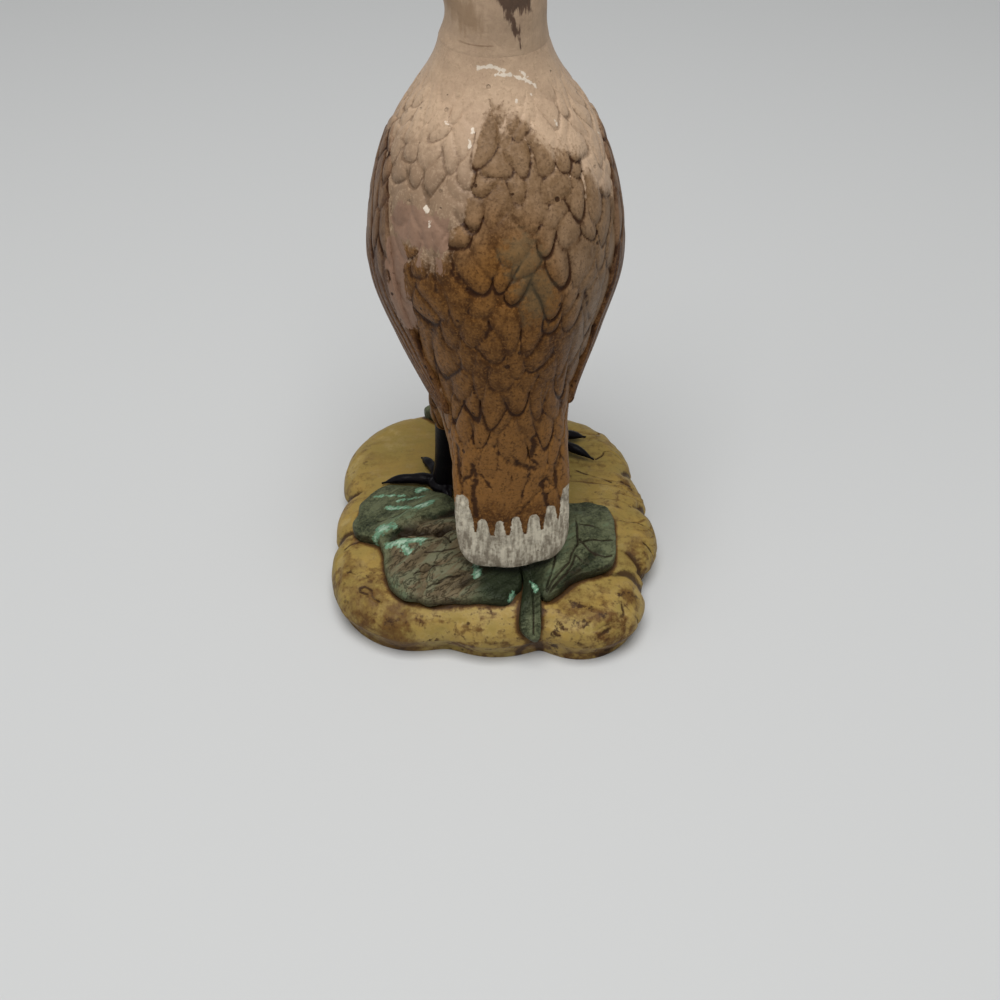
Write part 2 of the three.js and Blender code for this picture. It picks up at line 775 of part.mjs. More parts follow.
const figurine = new THREE.Group();
const bird = new THREE.Group();
bird.applyMatrix4(birdTurn);
const head = new THREE.Group();
head.position.copy(neckCentre).setZ(neckZ + LUTE_GAP);
head.rotation.z = radians(HEAD_TURN);
bird.add(head);
figurine.add(bird);

function place(parent, name, made, material) {
  const mesh = new THREE.Mesh(geometryOf(made), material);
  mesh.name = name;
  parent.add(mesh);
}

const pourHole = rod(
  point(0, 0, -CUT_PAST),
  point(0, 0, BASE_FLOOR + CUT_PAST),
  POUR_HOLE_DIAMETER / 2,
  POUR_HOLE_DIAMETER / 2,
  HOLLOW_COLUMNS,
);
const rockBase = rock()
  .subtract(rockHollow())
  .subtract(pourHole)
  .subtract(legSocket(LEFT_FOOT))
  .subtract(legSocket(RIGHT_FOOT));
place(figurine, "rock_base", rockBase, ochre);

const stemGrown = stemPad(LUTE_GAP);
const leftFootGrown = footShape(LEFT_FOOT, LEFT_TOES, LUTE_GAP);
const rightFootGrown = footShape(RIGHT_FOOT, RIGHT_TOES, LUTE_GAP);
const leftLeafGrown = leafPad(LEFT_LEAF, LEAF_THICKNESS, LEAF_EDGE, LUTE_GAP);
place(figurine, "leaf_stem", stemPad(0).subtract(rock(LUTE_GAP)), leafGreen);
place(figurine, "leaf_left", makeLeaf(LEFT_LEAF, [stemGrown, leftFootGrown]), leafGreen);
place(figurine, "leaf_right", makeLeaf(RIGHT_LEAF, [stemGrown, leftLeafGrown]), leafGreen);
place(figurine, "leaf_front", makeLeaf(FRONT_LEAF, [leftFootGrown, rightFootGrown]), leafGreen);

const FEET = [
  ["left", LEFT_FOOT, LEFT_TOES],
  ["right", RIGHT_FOOT, RIGHT_TOES],
];
for (const [side, foot, toes] of FEET) {
  place(figurine, `foot_${side}`, makeFoot(foot, toes), legBlack);
  place(figurine, `leg_${side}`, makeLeg(foot), legBlack);
  place(figurine, `thigh_${side}`, makeThigh(foot), featherBrown);
}

place(bird, "body_shell", makeBody(), featherBrown);
place(bird, "tail", makeTail(), tailBrown);
place(bird, "wing_left", makeWing(-1), featherBrown);
place(bird, "wing_right", makeWing(1), featherBrown);

place(head, "head_shell", makeHead(), headTan);
place(head, "eye_left", makeEye(-1), eyeBlack);
place(head, "eye_right", makeEye(1), eyeBlack);
place(head, "beak_upper", makeBeak(1), beakBlack);
place(head, "beak_lower", makeBeak(-1), beakBlack);
place(head, "topknot", makeTopknot(), beakBlack);

export default figurine;
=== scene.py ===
# Painted ceramic quail on a rock base: slip-cast pieces that are luted together, fired and stained.
# Metres, in the part's own frame: +Z is up, +Y is the way the bird faces, +X is right from behind.
import math

import bmesh
import bpy
import numpy as np
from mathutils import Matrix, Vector


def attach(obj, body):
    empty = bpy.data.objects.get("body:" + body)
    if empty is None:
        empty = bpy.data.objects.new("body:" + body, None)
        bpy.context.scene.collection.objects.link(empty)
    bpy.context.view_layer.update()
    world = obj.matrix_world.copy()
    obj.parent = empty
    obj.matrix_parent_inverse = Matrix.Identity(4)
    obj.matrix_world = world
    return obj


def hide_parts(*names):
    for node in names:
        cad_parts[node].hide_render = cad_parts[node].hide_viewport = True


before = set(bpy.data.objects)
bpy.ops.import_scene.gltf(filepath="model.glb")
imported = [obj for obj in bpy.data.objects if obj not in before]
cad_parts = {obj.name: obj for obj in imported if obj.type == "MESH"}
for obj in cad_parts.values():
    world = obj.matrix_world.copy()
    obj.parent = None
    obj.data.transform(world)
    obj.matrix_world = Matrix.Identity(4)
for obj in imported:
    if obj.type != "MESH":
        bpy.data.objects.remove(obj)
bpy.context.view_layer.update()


# Studio: a plain pale floor under an even grey sky, a broad soft lamp overhead and a weak one at the
# left. Far off, the floor fades into the sky. The camera stands behind the bird and looks down on it.
FLOOR_REACH = 4.0
FLOOR_COLOUR = (0.58, 0.585, 0.58, 1)
FLOOR_ROUGHNESS = 0.7
FLOOR_FADE = (0.6, 1.3)
SKY_COLOUR = (0.80, 0.82, 0.84, 1)
SKY_LIGHT = 0.18
SKY_SEEN = 0.66
CAMERA_PLACE = (0.0011, -0.2405, 0.2483)
CAMERA_DOWN = math.radians(44)
CAMERA_LENS = 39.6


class Wire:
    """A socket in a finish's nodes; sums on wires add Math nodes."""

    def __init__(self, tree, socket=None):
        self.tree = tree
        self.socket = socket

    def node(self, kind, settings, sockets, out=0):
        made = self.tree.nodes.new(kind)
        for name, value in settings.items():
            setattr(made, name, value)
        for key, value in sockets.items():
            if isinstance(value, Wire):
                self.tree.links.new(value.socket, made.inputs[key])
            else:
                made.inputs[key].default_value = value
        return Wire(self.tree, made.outputs[out] if made.outputs else None)

    def maths(self, operation, first, second):
        return self.node("ShaderNodeMath", {"operation": operation}, {0: first, 1: second})

    def __add__(self, other):
        return self.maths("ADD", self, other)

    def __sub__(self, other):
        return self.maths("SUBTRACT", self, other)

    def __rsub__(self, other):
        return self.maths("SUBTRACT", other, self)

    def __mul__(self, other):
        return self.maths("MULTIPLY", self, other)

    __radd__ = __add__
    __rmul__ = __mul__

    def step(self, low, high):
        """0 below low, 1 above high, and a smooth rise between."""
        sockets = {"Value": self, "From Min": low, "From Max": high}
        return self.node("ShaderNodeMapRange", {"interpolation_type": "SMOOTHSTEP"}, sockets)

    def mix(self, under, over):
        """Two colours, with this wire as the share of the second."""
        return self.node("ShaderNodeMix", {"data_type": "RGBA"}, {0: self, 6: under, 7: over}, 2)

    def most(self, other):
        """The larger of two values at each place."""
        return self.maths("MAXIMUM", self, other)

    def mark(self, name):
        """A value painted on the piece's own points."""
        return self.node("ShaderNodeAttribute", {"attribute_name": name}, {}, "Fac")

    def noise(self, size, detail=4.0, stretch=(1, 1, 1)):
        """Smooth random patches of a size, read at this wire's places."""
        spot = self.node("ShaderNodeMapping", {}, {"Vector": self, "Scale": stretch})
        sockets = {"Vector": spot, "Scale": 1 / size, "Detail": detail, "Roughness": 0.62}
        return self.node("ShaderNodeTexNoise", {}, sockets, "Fac")

    def spots(self, size, out="Distance"):
        """Distance to the nearest of many scattered points, or each point's own colour."""
        return self.node("ShaderNodeTexVoronoi", {}, {"Vector": self, "Scale": 1 / size}, out)


def new_finish(name):
    """A bare material, and a wire with the places on the piece that wears it."""
    finish = bpy.data.materials.new(name)
    finish.use_nodes = True
    finish.node_tree.nodes.clear()
    place = Wire(finish.node_tree).node("ShaderNodeTexCoord", {}, {}, "Object")
    return finish, place


def surface(place, colour, roughness, shine, height=None, depth=0.0003):
    """Ends a finish in one shader; height is the fine grain that the light catches."""
    sockets = {"Base Color": colour, "Roughness": roughness, "Specular IOR Level": shine}
    if height is not None:
        sockets["Normal"] = place.node("ShaderNodeBump", {}, {"Distance": depth, "Height": height})
    shader = place.node("ShaderNodeBsdfPrincipled", {}, sockets)
    place.node("ShaderNodeOutputMaterial", {}, {"Surface": shader})


scene = bpy.context.scene
scene.view_settings.view_transform = "Standard"

camera = bpy.data.objects.new("camera", bpy.data.cameras.new("camera"))
camera.location = CAMERA_PLACE
camera.rotation_euler = (math.pi / 2 - CAMERA_DOWN, 0, 0)
camera.data.lens = CAMERA_LENS
camera.data.clip_start = 0.01
scene.collection.objects.link(camera)
scene.camera = camera


def lamp(name, place, aim, size, watts):
    """A square soft box that looks at a point."""
    light = bpy.data.lights.new(name, "AREA")
    light.size = size
    light.energy = watts
    box = bpy.data.objects.new(name, light)
    box.location = place
    box.rotation_euler = (Vector(place) - Vector(aim)).to_track_quat("Z", "Y").to_euler()
    scene.collection.objects.link(box)


lamp("overhead_lamp", (-0.03, -0.25, 1.25), (0, 0, 0.08), 0.9, 16.5)
lamp("left_lamp", (-0.95, -0.55, 0.8), (0, 0, 0.09), 0.6, 1.0)

world = bpy.data.worlds.new("studio_sky")
world.use_nodes = True
world.node_tree.nodes.clear()
sky = Wire(world.node_tree)
looked_at = sky.node("ShaderNodeLightPath", {}, {}, "Is Camera Ray")
mirrored = sky.node("ShaderNodeLightPath", {}, {}, "Is Glossy Ray")
seen = looked_at.most(mirrored)
light = sky.node("ShaderNodeBackground", {}, {"Color": SKY_COLOUR, "Strength": SKY_LIGHT})
shown = sky.node("ShaderNodeBackground", {}, {"Color": SKY_COLOUR, "Strength": SKY_SEEN})
both = sky.node("ShaderNodeMixShader", {}, {0: seen, 1: light, 2: shown})
sky.node("ShaderNodeOutputWorld", {}, {"Surface": both})
scene.world = world

form = bmesh.new()
bmesh.ops.create_circle(form, cap_ends=True, segments=128, radius=FLOOR_REACH)
floor_mesh = bpy.data.meshes.new("floor")
form.to_mesh(floor_mesh)
form.free()
floor = bpy.data.objects.new("floor", floor_mesh)
scene.collection.objects.link(floor)
floor_paper, place = new_finish("floor_paper")
sockets = {"Base Color": FLOOR_COLOUR, "Roughness": FLOOR_ROUGHNESS}
paper = place.node("ShaderNodeBsdfPrincipled", {}, sockets)
far_off = place.node("ShaderNodeVectorMath", {"operation": "LENGTH"}, {0: place}, "Value")
looked_at = place.node("ShaderNodeLightPath", {}, {}, "Is Camera Ray")
mirrored = place.node("ShaderNodeLightPath", {}, {}, "Is Glossy Ray")
haze = place.node("ShaderNodeEmission", {}, {"Color": SKY_COLOUR, "Strength": SKY_SEEN})
seen = far_off.step(*FLOOR_FADE) * looked_at.most(mirrored)
both = place.node("ShaderNodeMixShader", {}, {0: seen, 1: paper, 2: haze})
place.node("ShaderNodeOutputMaterial", {}, {"Surface": both})
floor.data.materials.append(floor_paper)


# Rock base: a lobed boulder cast hollow with a pour hole underneath. Its top is stained ochre, split
# in thin layers along its right side, with brown wash in its cracks and wash and painted shade round the
# leaves.
ROCK_SIZE = np.array([0.099, 0.102])
ROCK_HEIGHT = 0.019
ROCK_CROWN = 0.0025
ROCK_BULGE = 0.007
ROCK_FOOT_INSET = 0.003
ROCK_ROUND = 0.011
ROCK_WALL = 0.005
ROCK_FLOOR = 0.004
ROCK_ROOF = 0.0125
POUR_HOLE = 0.013
ROCK_COLUMNS = 560
NOTCH_SHARPNESS = 34
CRACK_DEPTH = 0.0012
LINE_WIDTH = 0.0005
LINE_DEPTH = 0.0006
LAYER_DEPTH = 0.00035
LAYER_RISE = 0.0004
CHIP_DEPTH = 0.0004
SKIN_DROP = 0.0008
LAYER_PITCH = 0.0036
OCHRE = (0.345, 0.228, 0.060, 1)
OLIVE = (0.290, 0.208, 0.058, 1)
ROCK_CREAM = (0.460, 0.345, 0.135, 1)
ROCK_BROWN = (0.110, 0.050, 0.012, 1)
ROCK_DARK = (0.036, 0.015, 0.005, 1)
# Boulders seen in plan: centre and radius as shares of half the rock's width and depth.
BOULDERS = np.array([
    (-0.06, 0.22, 0.78), (-0.44, 0.35, 0.56), (-0.57, -0.10, 0.43), (-0.48, -0.43, 0.52),
    (0.00, -0.38, 0.62), (0.50, -0.64, 0.37), (0.55, -0.48, 0.33), (0.61, -0.18, 0.39),
    (0.53, 0.08, 0.42), (0.36, 0.37, 0.53),
])
# Beds of the leaves in plan, as the same shares.
LEFT_LEAF = [
    (-0.34, -0.02), (-0.72, 0.06), (-0.84, -0.30), (-0.68, -0.40), (-0.62, -0.66),
    (-0.50, -0.79), (-0.15, -0.81), (0.10, -0.80), (0.12, -0.42), (-0.10, -0.20),
]
RIGHT_LEAF = [
    (0.30, -0.14), (0.46, -0.10), (0.66, -0.12), (0.70, -0.38),
    (0.66, -0.56), (0.46, -0.66), (0.27, -0.80), (0.20, -0.60),
]
FRONT_LEAF = [
    (-0.49, 0.82), (-0.40, 0.72), (-0.20, 0.64), (0.00, 0.68),
    (0.06, 0.82), (-0.16, 0.89), (-0.38, 0.88),
]
STEM_WIDTH = 0.0047
STEM_LINE = [(0.16, -0.50), (0.20, -0.68), (0.185, -0.94)]
STEM_BED = [(x + side * STEM_WIDTH / ROCK_SIZE[0], y) for side in (1, -1) for x, y in STEM_LINE[::side]]
# Scored lines in plan.
ROCK_LINES = [
    [(0.0316, 0.0195), (0.0345, 0.0232), (0.0375, 0.0240), (0.0420, 0.0212)],
    [(0.0356, -0.0404), (0.0361, -0.0427), (0.0340, -0.0449), (0.0305, -0.0470), (0.0266, -0.0493)],
    [(0.0352, -0.0452), (0.0317, -0.0473), (0.0283, -0.0499)],
    [(0.0340, -0.0385), (0.0382, -0.0411), (0.0415, -0.0420)],
    [(0.0250, 0.0125), (0.0295, 0.0110), (0.0355, 0.0078)],
    [(0.0325, -0.0085), (0.0387, -0.0088), (0.0448, -0.0090), (0.0481, -0.0090)],
    [(0.0437, -0.0162), (0.0468, -0.0169)],
    [(0.0335, -0.0275), (0.0409, -0.0258), (0.0440, -0.0250)],
    [(-0.0480, 0.0053), (-0.0435, 0.0050)],
    [(-0.0402, -0.0170), (-0.0450, -0.0185)],
    [(-0.0365, -0.0369), (-0.0388, -0.0360), (-0.0389, -0.0349), (-0.0375, -0.0344), (-0.0356, -0.0356)],
    [(-0.0356, -0.0356), (-0.0345, -0.0380), (-0.0326, -0.0395)],
    [(-0.0436, -0.0279), (-0.0405, -0.0296)],
]
# Pools of brown wash in plan: place, reach and strength.
WASH_POOLS = [
    (-0.036, -0.038, 0.013, 0.80), (0.023, -0.042, 0.010, 0.80), (0.012, -0.047, 0.008, 0.55),
    (0.041, 0.0085, 0.003, 1.0), (0.038, -0.037, 0.004, 1.0), (-0.041, -0.017, 0.004, 0.9),
    (0.040, -0.008, 0.010, 0.45), (-0.012, -0.049, 0.012, 0.40), (0.034, -0.024, 0.006, 0.55),
    (-0.028, -0.045, 0.008, 1.0), (0.030, -0.046, 0.008, 0.70), (0.041, -0.021, 0.008, 0.65),
    (-0.044, -0.029, 0.008, 0.75), (0.0375, -0.0005, 0.006, 0.50), (0.033, -0.0485, 0.007, 0.80),
    (-0.045, -0.0155, 0.004, 0.60),
]
# Blots of dark wash in plan: from, to and half width.
ROCK_BLOTS = [
    ((0.0205, -0.0398), (0.0235, -0.0414), 0.0011), ((0.0214, -0.0464), (0.0218, -0.0470), 0.0010),
    ((0.0297, -0.0448), (0.0303, -0.0444), 0.0009), ((0.0165, -0.0480), (0.0158, -0.0485), 0.0011),
    ((0.0350, -0.0372), (0.0407, -0.0359), 0.0010), ((-0.0436, -0.0279), (-0.0369, -0.0309), 0.0005),
    ((-0.0293, -0.0449), (-0.0285, -0.0455), 0.0009), ((-0.0385, -0.0356), (-0.0372, -0.0349), 0.0006),
    ((0.0395, 0.0086), (0.0425, 0.0080), 0.0009), ((-0.0180, -0.0487), (-0.0170, -0.0490), 0.0008),
    ((0.0250, -0.0475), (0.0256, -0.0478), 0.0005), ((0.0262, -0.0425), (0.0266, -0.0428), 0.0005),
]
WELD = 1e-6
SHARP_EDGE = math.radians(55)
LATTICE_SIDE = 24
LATTICE = np.random.default_rng(11).random((LATTICE_SIDE,) * 3)


def ease(value, low, high):
    """0 below low, 1 above high, and a smooth rise between."""
    part = np.clip((value - low) / (high - low), 0, 1)
    return part * part * (3 - 2 * part)


def grain(points, size, seed=0):
    """Smooth random values from -1 to 1 with lumps of a size, the same on every run."""
    cell = points / size + 5.3 * seed
    low = np.floor(cell).astype(int)
    part = ease(cell - low, 0, 1)
    value = 0.0
    for corner in np.ndindex(2, 2, 2):
        spot = (low + corner) % LATTICE_SIDE
        share = np.prod(np.where(corner, part, 1 - part), axis=-1)
        value = value + share * LATTICE[spot[..., 0], spot[..., 1], spot[..., 2]]
    return 2 * value - 1


def through(stations, u, closed=False):
    """A smooth line through stations, at shares u of the way along it."""
    stations = np.asarray(stations, float)
    count = len(stations)
    if closed:
        ring = stations[np.arange(-1, count + 2) % count]
    else:
        ring = np.vstack([2 * stations[0] - stations[1], stations, 2 * stations[-1] - stations[-2]])
    spans = len(ring) - 3
    place = np.clip(u, 0, 1) * spans
    index = np.minimum(place.astype(int), spans - 1)
    part = (place - index)[..., None]
    a, b, c, d = (ring[index + k] for k in range(4))
    chords = [np.linalg.norm(q - p, axis=-1, keepdims=True) for p, q in ((a, b), (b, c), (c, d))]
    ab, bc, cd = np.sqrt(chords)
    leave = ((b - a) / ab - (c - a) / (ab + bc) + (c - b) / bc) * bc
    arrive = ((c - b) / bc - (d - b) / (bc + cd) + (d - c) / cd) * bc
    bend = 3 * (c - b) - 2 * leave - arrive
    return b + leave * part + bend * part**2 + (2 * (b - c) + leave + arrive) * part**3


def run_distance(points, start, end):
    """Distance from points to a straight run between two of them."""
    start, end = np.array(start), np.array(end)
    way = end - start
    share = np.clip((points - start) @ way / (way @ way), 0, 1)
    return np.linalg.norm(points - start - share[..., None] * way, axis=-1)


def run_field(points, runs, soft):
    """1 on the edge of a set of runs, rising to 2 inside and falling to 0 outside."""
    field = [1 + (radius - run_distance(points, a, b)) / soft for a, b, radius in runs]
    return np.clip(np.max(field, axis=0), 0, 2)


def raised(points, height):
    """A wrapped grid of points moved square off its own surface."""
    loop = points[:, :-1]
    around = np.roll(loop, -1, axis=1) - np.roll(loop, 1, axis=1)
    square = np.cross(around, np.gradient(loop, axis=0))
    outward = np.sign(np.sum(loop * square))
    length = np.linalg.norm(square, axis=-1, keepdims=True)
    square = outward * square / np.maximum(length, 1e-12)
    square[length[..., 0] < 1e-11] = 0
    return points + np.concatenate([square, square[:, :1]], axis=1) * height[..., None]


def finished(name, form, finish):
    """A piece from a bmesh: doubles merged, faces outwards, smooth but for its sharp edges."""
    bmesh.ops.remove_doubles(form, verts=form.verts, dist=WELD)
    bmesh.ops.recalc_face_normals(form, faces=form.faces)
    for face in form.faces:
        face.smooth = True
    for edge in form.edges:
        edge.smooth = edge.calc_face_angle(0) < SHARP_EDGE
    mesh = bpy.data.meshes.new(name)
    form.to_mesh(mesh)
    form.free()
    mesh.materials.append(finish)
    piece = bpy.data.objects.new(name, mesh)
    scene.collection.objects.link(piece)
    return piece


def grid_form(points):
    """A bmesh with a grid of faces over an array of points."""
    rows, columns = points.shape[0] - 1, points.shape[1] - 1
    form = bmesh.new()
    bmesh.ops.create_grid(form, x_segments=columns, y_segments=rows, size=0.5)
    for vert, spot in zip(form.verts, points.reshape(-1, 3)):
        vert.co = spot
    return form


def wrapped(name, points, finish, **marks):
    """A closed piece from a grid: its two sides meet, and its end rows draw together."""
    form = grid_form(points)
    for mark, values in marks.items():
        layer = form.verts.layers.float.new(mark)
        for vert, value in zip(form.verts, values.ravel()):
            vert[layer] = value
    return finished(name, form, finish)


def settle(piece, slot, *nodes):
    """Fixes a piece to the ornament in place of its plain castings."""
    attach(piece, "root")
    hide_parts(*nodes)


def boulder_reach(angle):
    """How far the boulders reach from the middle at an angle, blended where two of them meet."""
    x, y, r = BOULDERS.T[:, :, None]
    along = x * np.cos(angle) + y * np.sin(angle)
    across = x * np.sin(angle) - y * np.cos(angle)
    inside = r * r - across * across
    reach = along + np.sqrt(np.maximum(inside, 0))
    total = np.sum(np.where(inside > 0, np.exp(NOTCH_SHARPNESS * reach), 0), axis=0)
    return np.log(total) / NOTCH_SHARPNESS


outline_turn = np.linspace(0, 2 * math.pi, 1440, endpoint=False)
outline = boulder_reach(outline_turn)[:, None] * np.stack([np.cos(outline_turn), np.sin(outline_turn)], 1)
outline_low, outline_high = outline.min(0), outline.max(0)
outline = (outline - (outline_low + outline_high) / 2) * ROCK_SIZE / (outline_high - outline_low)
outline_angle = np.arctan2(outline[:, 1], outline[:, 0])
outline_far = np.hypot(outline[:, 0], outline[:, 1])


def rock_rim(angle):
    """Distance from the middle to the rock's widest line."""
    return np.interp(angle, outline_angle, outline_far, period=2 * math.pi)


def rock_top(x, y):
    """Height of the rock's upper skin over a plan point."""
    inner = rock_rim(np.arctan2(y, x)) - ROCK_ROUND
    reach = np.hypot(x, y)
    edge = ROCK_HEIGHT - ROCK_CROWN
    crown = edge + ROCK_CROWN * (1 - (reach / inner) ** 2)
    out = np.clip((reach - inner) / ROCK_ROUND, 0, 1)
    side = ROCK_BULGE + (edge - ROCK_BULGE) * np.sqrt(1 - out * out)
    return np.where(reach <= inner, crown, side)


def rock_points():
    """Rows from the roof of the hollow, out through the pour hole, and up over the rock's skin."""
    edge = ROCK_HEIGHT - ROCK_CROWN
    rows = []

    # Each row: how far inside the rim, share of that reach, share of the pour hole's circle, height.
    def run(start, end, count):
        rows.extend(np.linspace(start, end, count, endpoint=False))

    roof = (ROCK_ROUND / 2 + ROCK_WALL, 1, 0, ROCK_ROOF)
    wall = (ROCK_FOOT_INSET + ROCK_WALL, 1, 0, ROCK_FLOOR)
    hole = (ROCK_FOOT_INSET + ROCK_WALL, 1, 1, ROCK_FLOOR)
    mouth = (ROCK_FOOT_INSET + ROCK_WALL, 1, 1, 0)
    foot = (ROCK_FOOT_INSET, 1, 0, 0)
    run((roof[0], 0, 0, ROCK_ROOF), roof, 3)
    run(roof, wall, 2)
    run(wall, hole, 2)
    run(hole, mouth, 1)
    run(mouth, foot, 3)
    hidden = len(rows)
    run(foot, (0, 1, 0, ROCK_BULGE), 12)
    for turn in np.linspace(0, math.pi / 2, 38, endpoint=False):
        rise = ROCK_BULGE + (edge - ROCK_BULGE) * math.sin(turn)
        rows.append((ROCK_ROUND * (1 - math.cos(turn)), 1, 0, rise))
    for share in np.linspace(1, 0, 80):
        rows.append((ROCK_ROUND, share, 0, edge + ROCK_CROWN * (1 - share * share)))
    inset, share, hole, height = np.array(rows).T[:, :, None]
    turn = np.linspace(0, 2 * math.pi, ROCK_COLUMNS + 1)
    reach = (rock_rim(turn) - inset) * share * (1 - hole) + POUR_HOLE * hole
    height = np.broadcast_to(height, reach.shape)
    outside = np.broadcast_to((np.arange(len(rows)) >= hidden)[:, None], reach.shape)
    return np.stack([reach * np.cos(turn), reach * np.sin(turn), height], -1), outside


def crack_lines(points):
    """Nearness to the cracks between boulders at the sides, which fade out away from the rim."""
    stray = np.stack([grain(points, 0.007, k) for k in (1, 2)], -1)
    spot = points[..., :2] / (ROCK_SIZE / 2) + 0.04 * stray
    near = BOULDERS[:, 2] - np.linalg.norm(spot[..., None, :] - BOULDERS[:, :2], axis=-1)
    near = np.sort(near, axis=-1)
    reach = np.linalg.norm(spot, axis=-1)
    sideways = ease(np.abs(spot[..., 0]) / np.maximum(reach, 1e-3), 0.55, 0.8)
    return np.exp(-((near[..., -1] - near[..., -2]) / 0.028) ** 2) * ease(reach, 0.72, 0.95) * sideways


def layer_lines(points):
    """Edges of the thin layers along the right side, broken and uneven as the grain of split wood."""
    x, y, z = np.moveaxis(points, -1, 0)
    zone = ease(x, 0.010, 0.030) * ease(y, -0.026, -0.006)
    stretched = points * (0.3, 1, 1)
    uneven = 0.0035 * grain(stretched, 0.010, 3) + 0.0008 * grain(stretched, 0.003, 4)
    run = y + 0.22 * x + 0.9 * (z - 0.015) + uneven
    place = np.mod(run / LAYER_PITCH, 1)
    sharp = np.exp(-(np.minimum(place, 1 - place) / 0.11) ** 2)
    broken = ease(grain(stretched, 0.0055, 5), -0.25, 0.45)
    return sharp * broken * zone, (place - 0.5) * zone * broken


def scored_lines(points):
    """Nearness to the scored lines."""
    plan = points[..., :2] + 0.0005 * np.stack([grain(points, 0.003, k) for k in (6, 7)], -1)
    runs = [pair for line in ROCK_LINES for pair in zip(line, line[1:])]
    far = np.min([run_distance(plan, *run) for run in runs], axis=0)
    return np.exp(-(far / LINE_WIDTH) ** 2) * (0.55 + 0.45 * ease(grain(points, 0.004, 8), -0.4, 0.3))


def leaf_beds(points):
    """Distance in plan to the edge of the nearest leaf."""
    edges = [through(np.array(bed) * ROCK_SIZE / 2, np.linspace(0, 1, 160), closed=True)
             for bed in (LEFT_LEAF, RIGHT_LEAF, FRONT_LEAF, STEM_BED)]
    edges = np.concatenate(edges)
    return np.min([np.linalg.norm(points[..., :2] - spot, axis=-1) for spot in edges], axis=0)


def rock_finish():
    finish, place = new_finish("rock_stain")
    cloud = place.noise(0.018, 4)
    blotch = place.noise(0.0055, 5)
    mottle = place.noise(0.0024, 5)
    speck = place.noise(0.0009, 3)
    streak = place.noise(0.0030, 4, (0.22, 1.0, 0.8))
    pits = place.spots(0.0042)
    worked = place.mark("worked")
    colour = (cloud * 0.7 + blotch * 0.3).step(0.40, 0.60).mix(OLIVE, OCHRE)
    rub = place.mark("proud") * 0.75 + (blotch - 0.5) * 1.2 + (mottle - 0.5) * 1.3 + (speck - 0.5) * 0.6
    colour = (rub.step(0.35, 0.95) * 0.72).mix(colour, ROCK_CREAM)
    brown = (streak * 0.5 + blotch * 0.3 + mottle * 0.5).step(0.61, 0.78)
    colour = (brown * (0.22 + 0.65 * worked)).mix(colour, ROCK_BROWN)
    patchy = (blotch - 0.5) * 1.3 + (mottle - 0.5) * 1.5 + (speck - 0.5) * 0.6
    wash = place.mark("wash") + patchy * (0.4 + 0.6 * worked)
    colour = (wash.step(0.30, 0.95) * 0.88).mix(colour, ROCK_BROWN)
    colour = ((place.mark("layer") + (speck - 0.5) * 0.6).step(0.25, 0.8) * 0.75).mix(colour, ROCK_BROWN)
    dark = (place.mark("line") + (speck - 0.5) * 0.5).step(0.35, 0.85)
    dark = dark.most((place.mark("crack") + (speck - 0.5) * 0.5).step(0.45, 0.9))
    blot = place.mark("blot") + (mottle - 0.5) * 2.6 + (speck - 0.5) * 1.4
    dark = dark.most(blot.step(0.95, 1.55))
    # Near-black where the brown wash and painted shade along the leaf beds are strongest.
    dark = dark.most((wash - 0.75).step(0.15, 0.55) * 0.8)
    colour = (dark * 0.92).mix(colour, ROCK_DARK)
    fleck = (mottle * 0.6 + speck * 0.6).step(0.64, 0.80)
    colour = (fleck * (0.08 + 0.7 * worked)).mix(colour, ROCK_DARK)
    colour = ((1 - pits.step(0.07, 0.17)) * worked * 0.85).mix(colour, ROCK_DARK)
    rough = 0.50 - 0.12 * cloud + 0.14 * speck
    height = blotch * 0.45 + mottle * 0.4 + speck * 0.3 + streak * 0.25 - pits.step(0.17, 0.07) * 0.3
    surface(place, colour, rough, 0.14, height, 0.0004)
    return finish


rock, rock_outside = rock_points()
crack = crack_lines(rock)
layer, layer_rise = layer_lines(rock)
line = scored_lines(rock)
bed = leaf_beds(rock)
front = ease(-rock[..., 1], 0.020, 0.036)
right = ease(rock[..., 0], 0.012, 0.030)
left = ease(-rock[..., 0], 0.034, 0.044)
lumps = 0.0010 * grain(rock, 0.015, 9) + 0.0004 * grain(rock, 0.0055, 10)
lumps = (lumps + 0.00012 * grain(rock, 0.0022, 11)) * (0.35 + 0.65 * np.maximum(front, right))
chipped = ease(grain(rock, 0.0040, 12), 0.15, 0.6) * np.exp(-((rock[..., 2] - 0.0135) / 0.003) ** 2)
carved = lumps - CRACK_DEPTH * crack - LAYER_DEPTH * layer + LAYER_RISE * layer_rise
carved = carved - LINE_DEPTH * line - CHIP_DEPTH * chipped - SKIN_DROP
skirt = ease(rock[..., 2], 0.0002, 0.002)
carved = np.where(rock_outside, carved * skirt, 0)
# Brown wash round the beds of the leaves, darkest in a thin line of painted shade where they meet the rock.
wash = 1.3 * np.exp(-((bed / 0.0010) ** 2))
wash = wash + 0.48 * np.exp(-((bed / 0.0034) ** 2)) * ease(grain(rock, 0.005, 14), -0.7, 0.3)
for x, y, reach, strength in WASH_POOLS:
    far = np.hypot(rock[..., 0] - x, rock[..., 1] - y)
    wash = np.maximum(wash, strength * np.exp(-((far / reach) ** 2)))
# Darker also towards the foot of the sides.
wash = wash + 0.25 * ease(-rock[..., 2], -0.0105, -0.003) * (1 - 0.5 * front)
worked = np.maximum(np.maximum(front, 0.6 * left), 0.7 * right)
worked = worked * (0.45 + 0.55 * ease(grain(rock, 0.010, 13), -0.3, 0.3))
rock_base = wrapped(
    "rock_base_cast", raised(rock, carved), rock_finish(),
    crack=crack * rock_outside, layer=layer * rock_outside, line=line * rock_outside,
    wash=wash, worked=worked, blot=run_field(rock[..., :2], ROCK_BLOTS, 0.0022),
    proud=np.clip(0.45 + 350 * lumps + 0.25 * front + 0.5 * chipped - crack, 0, 1),
)
settle(rock_base, "rock_ochre", "rock_base")


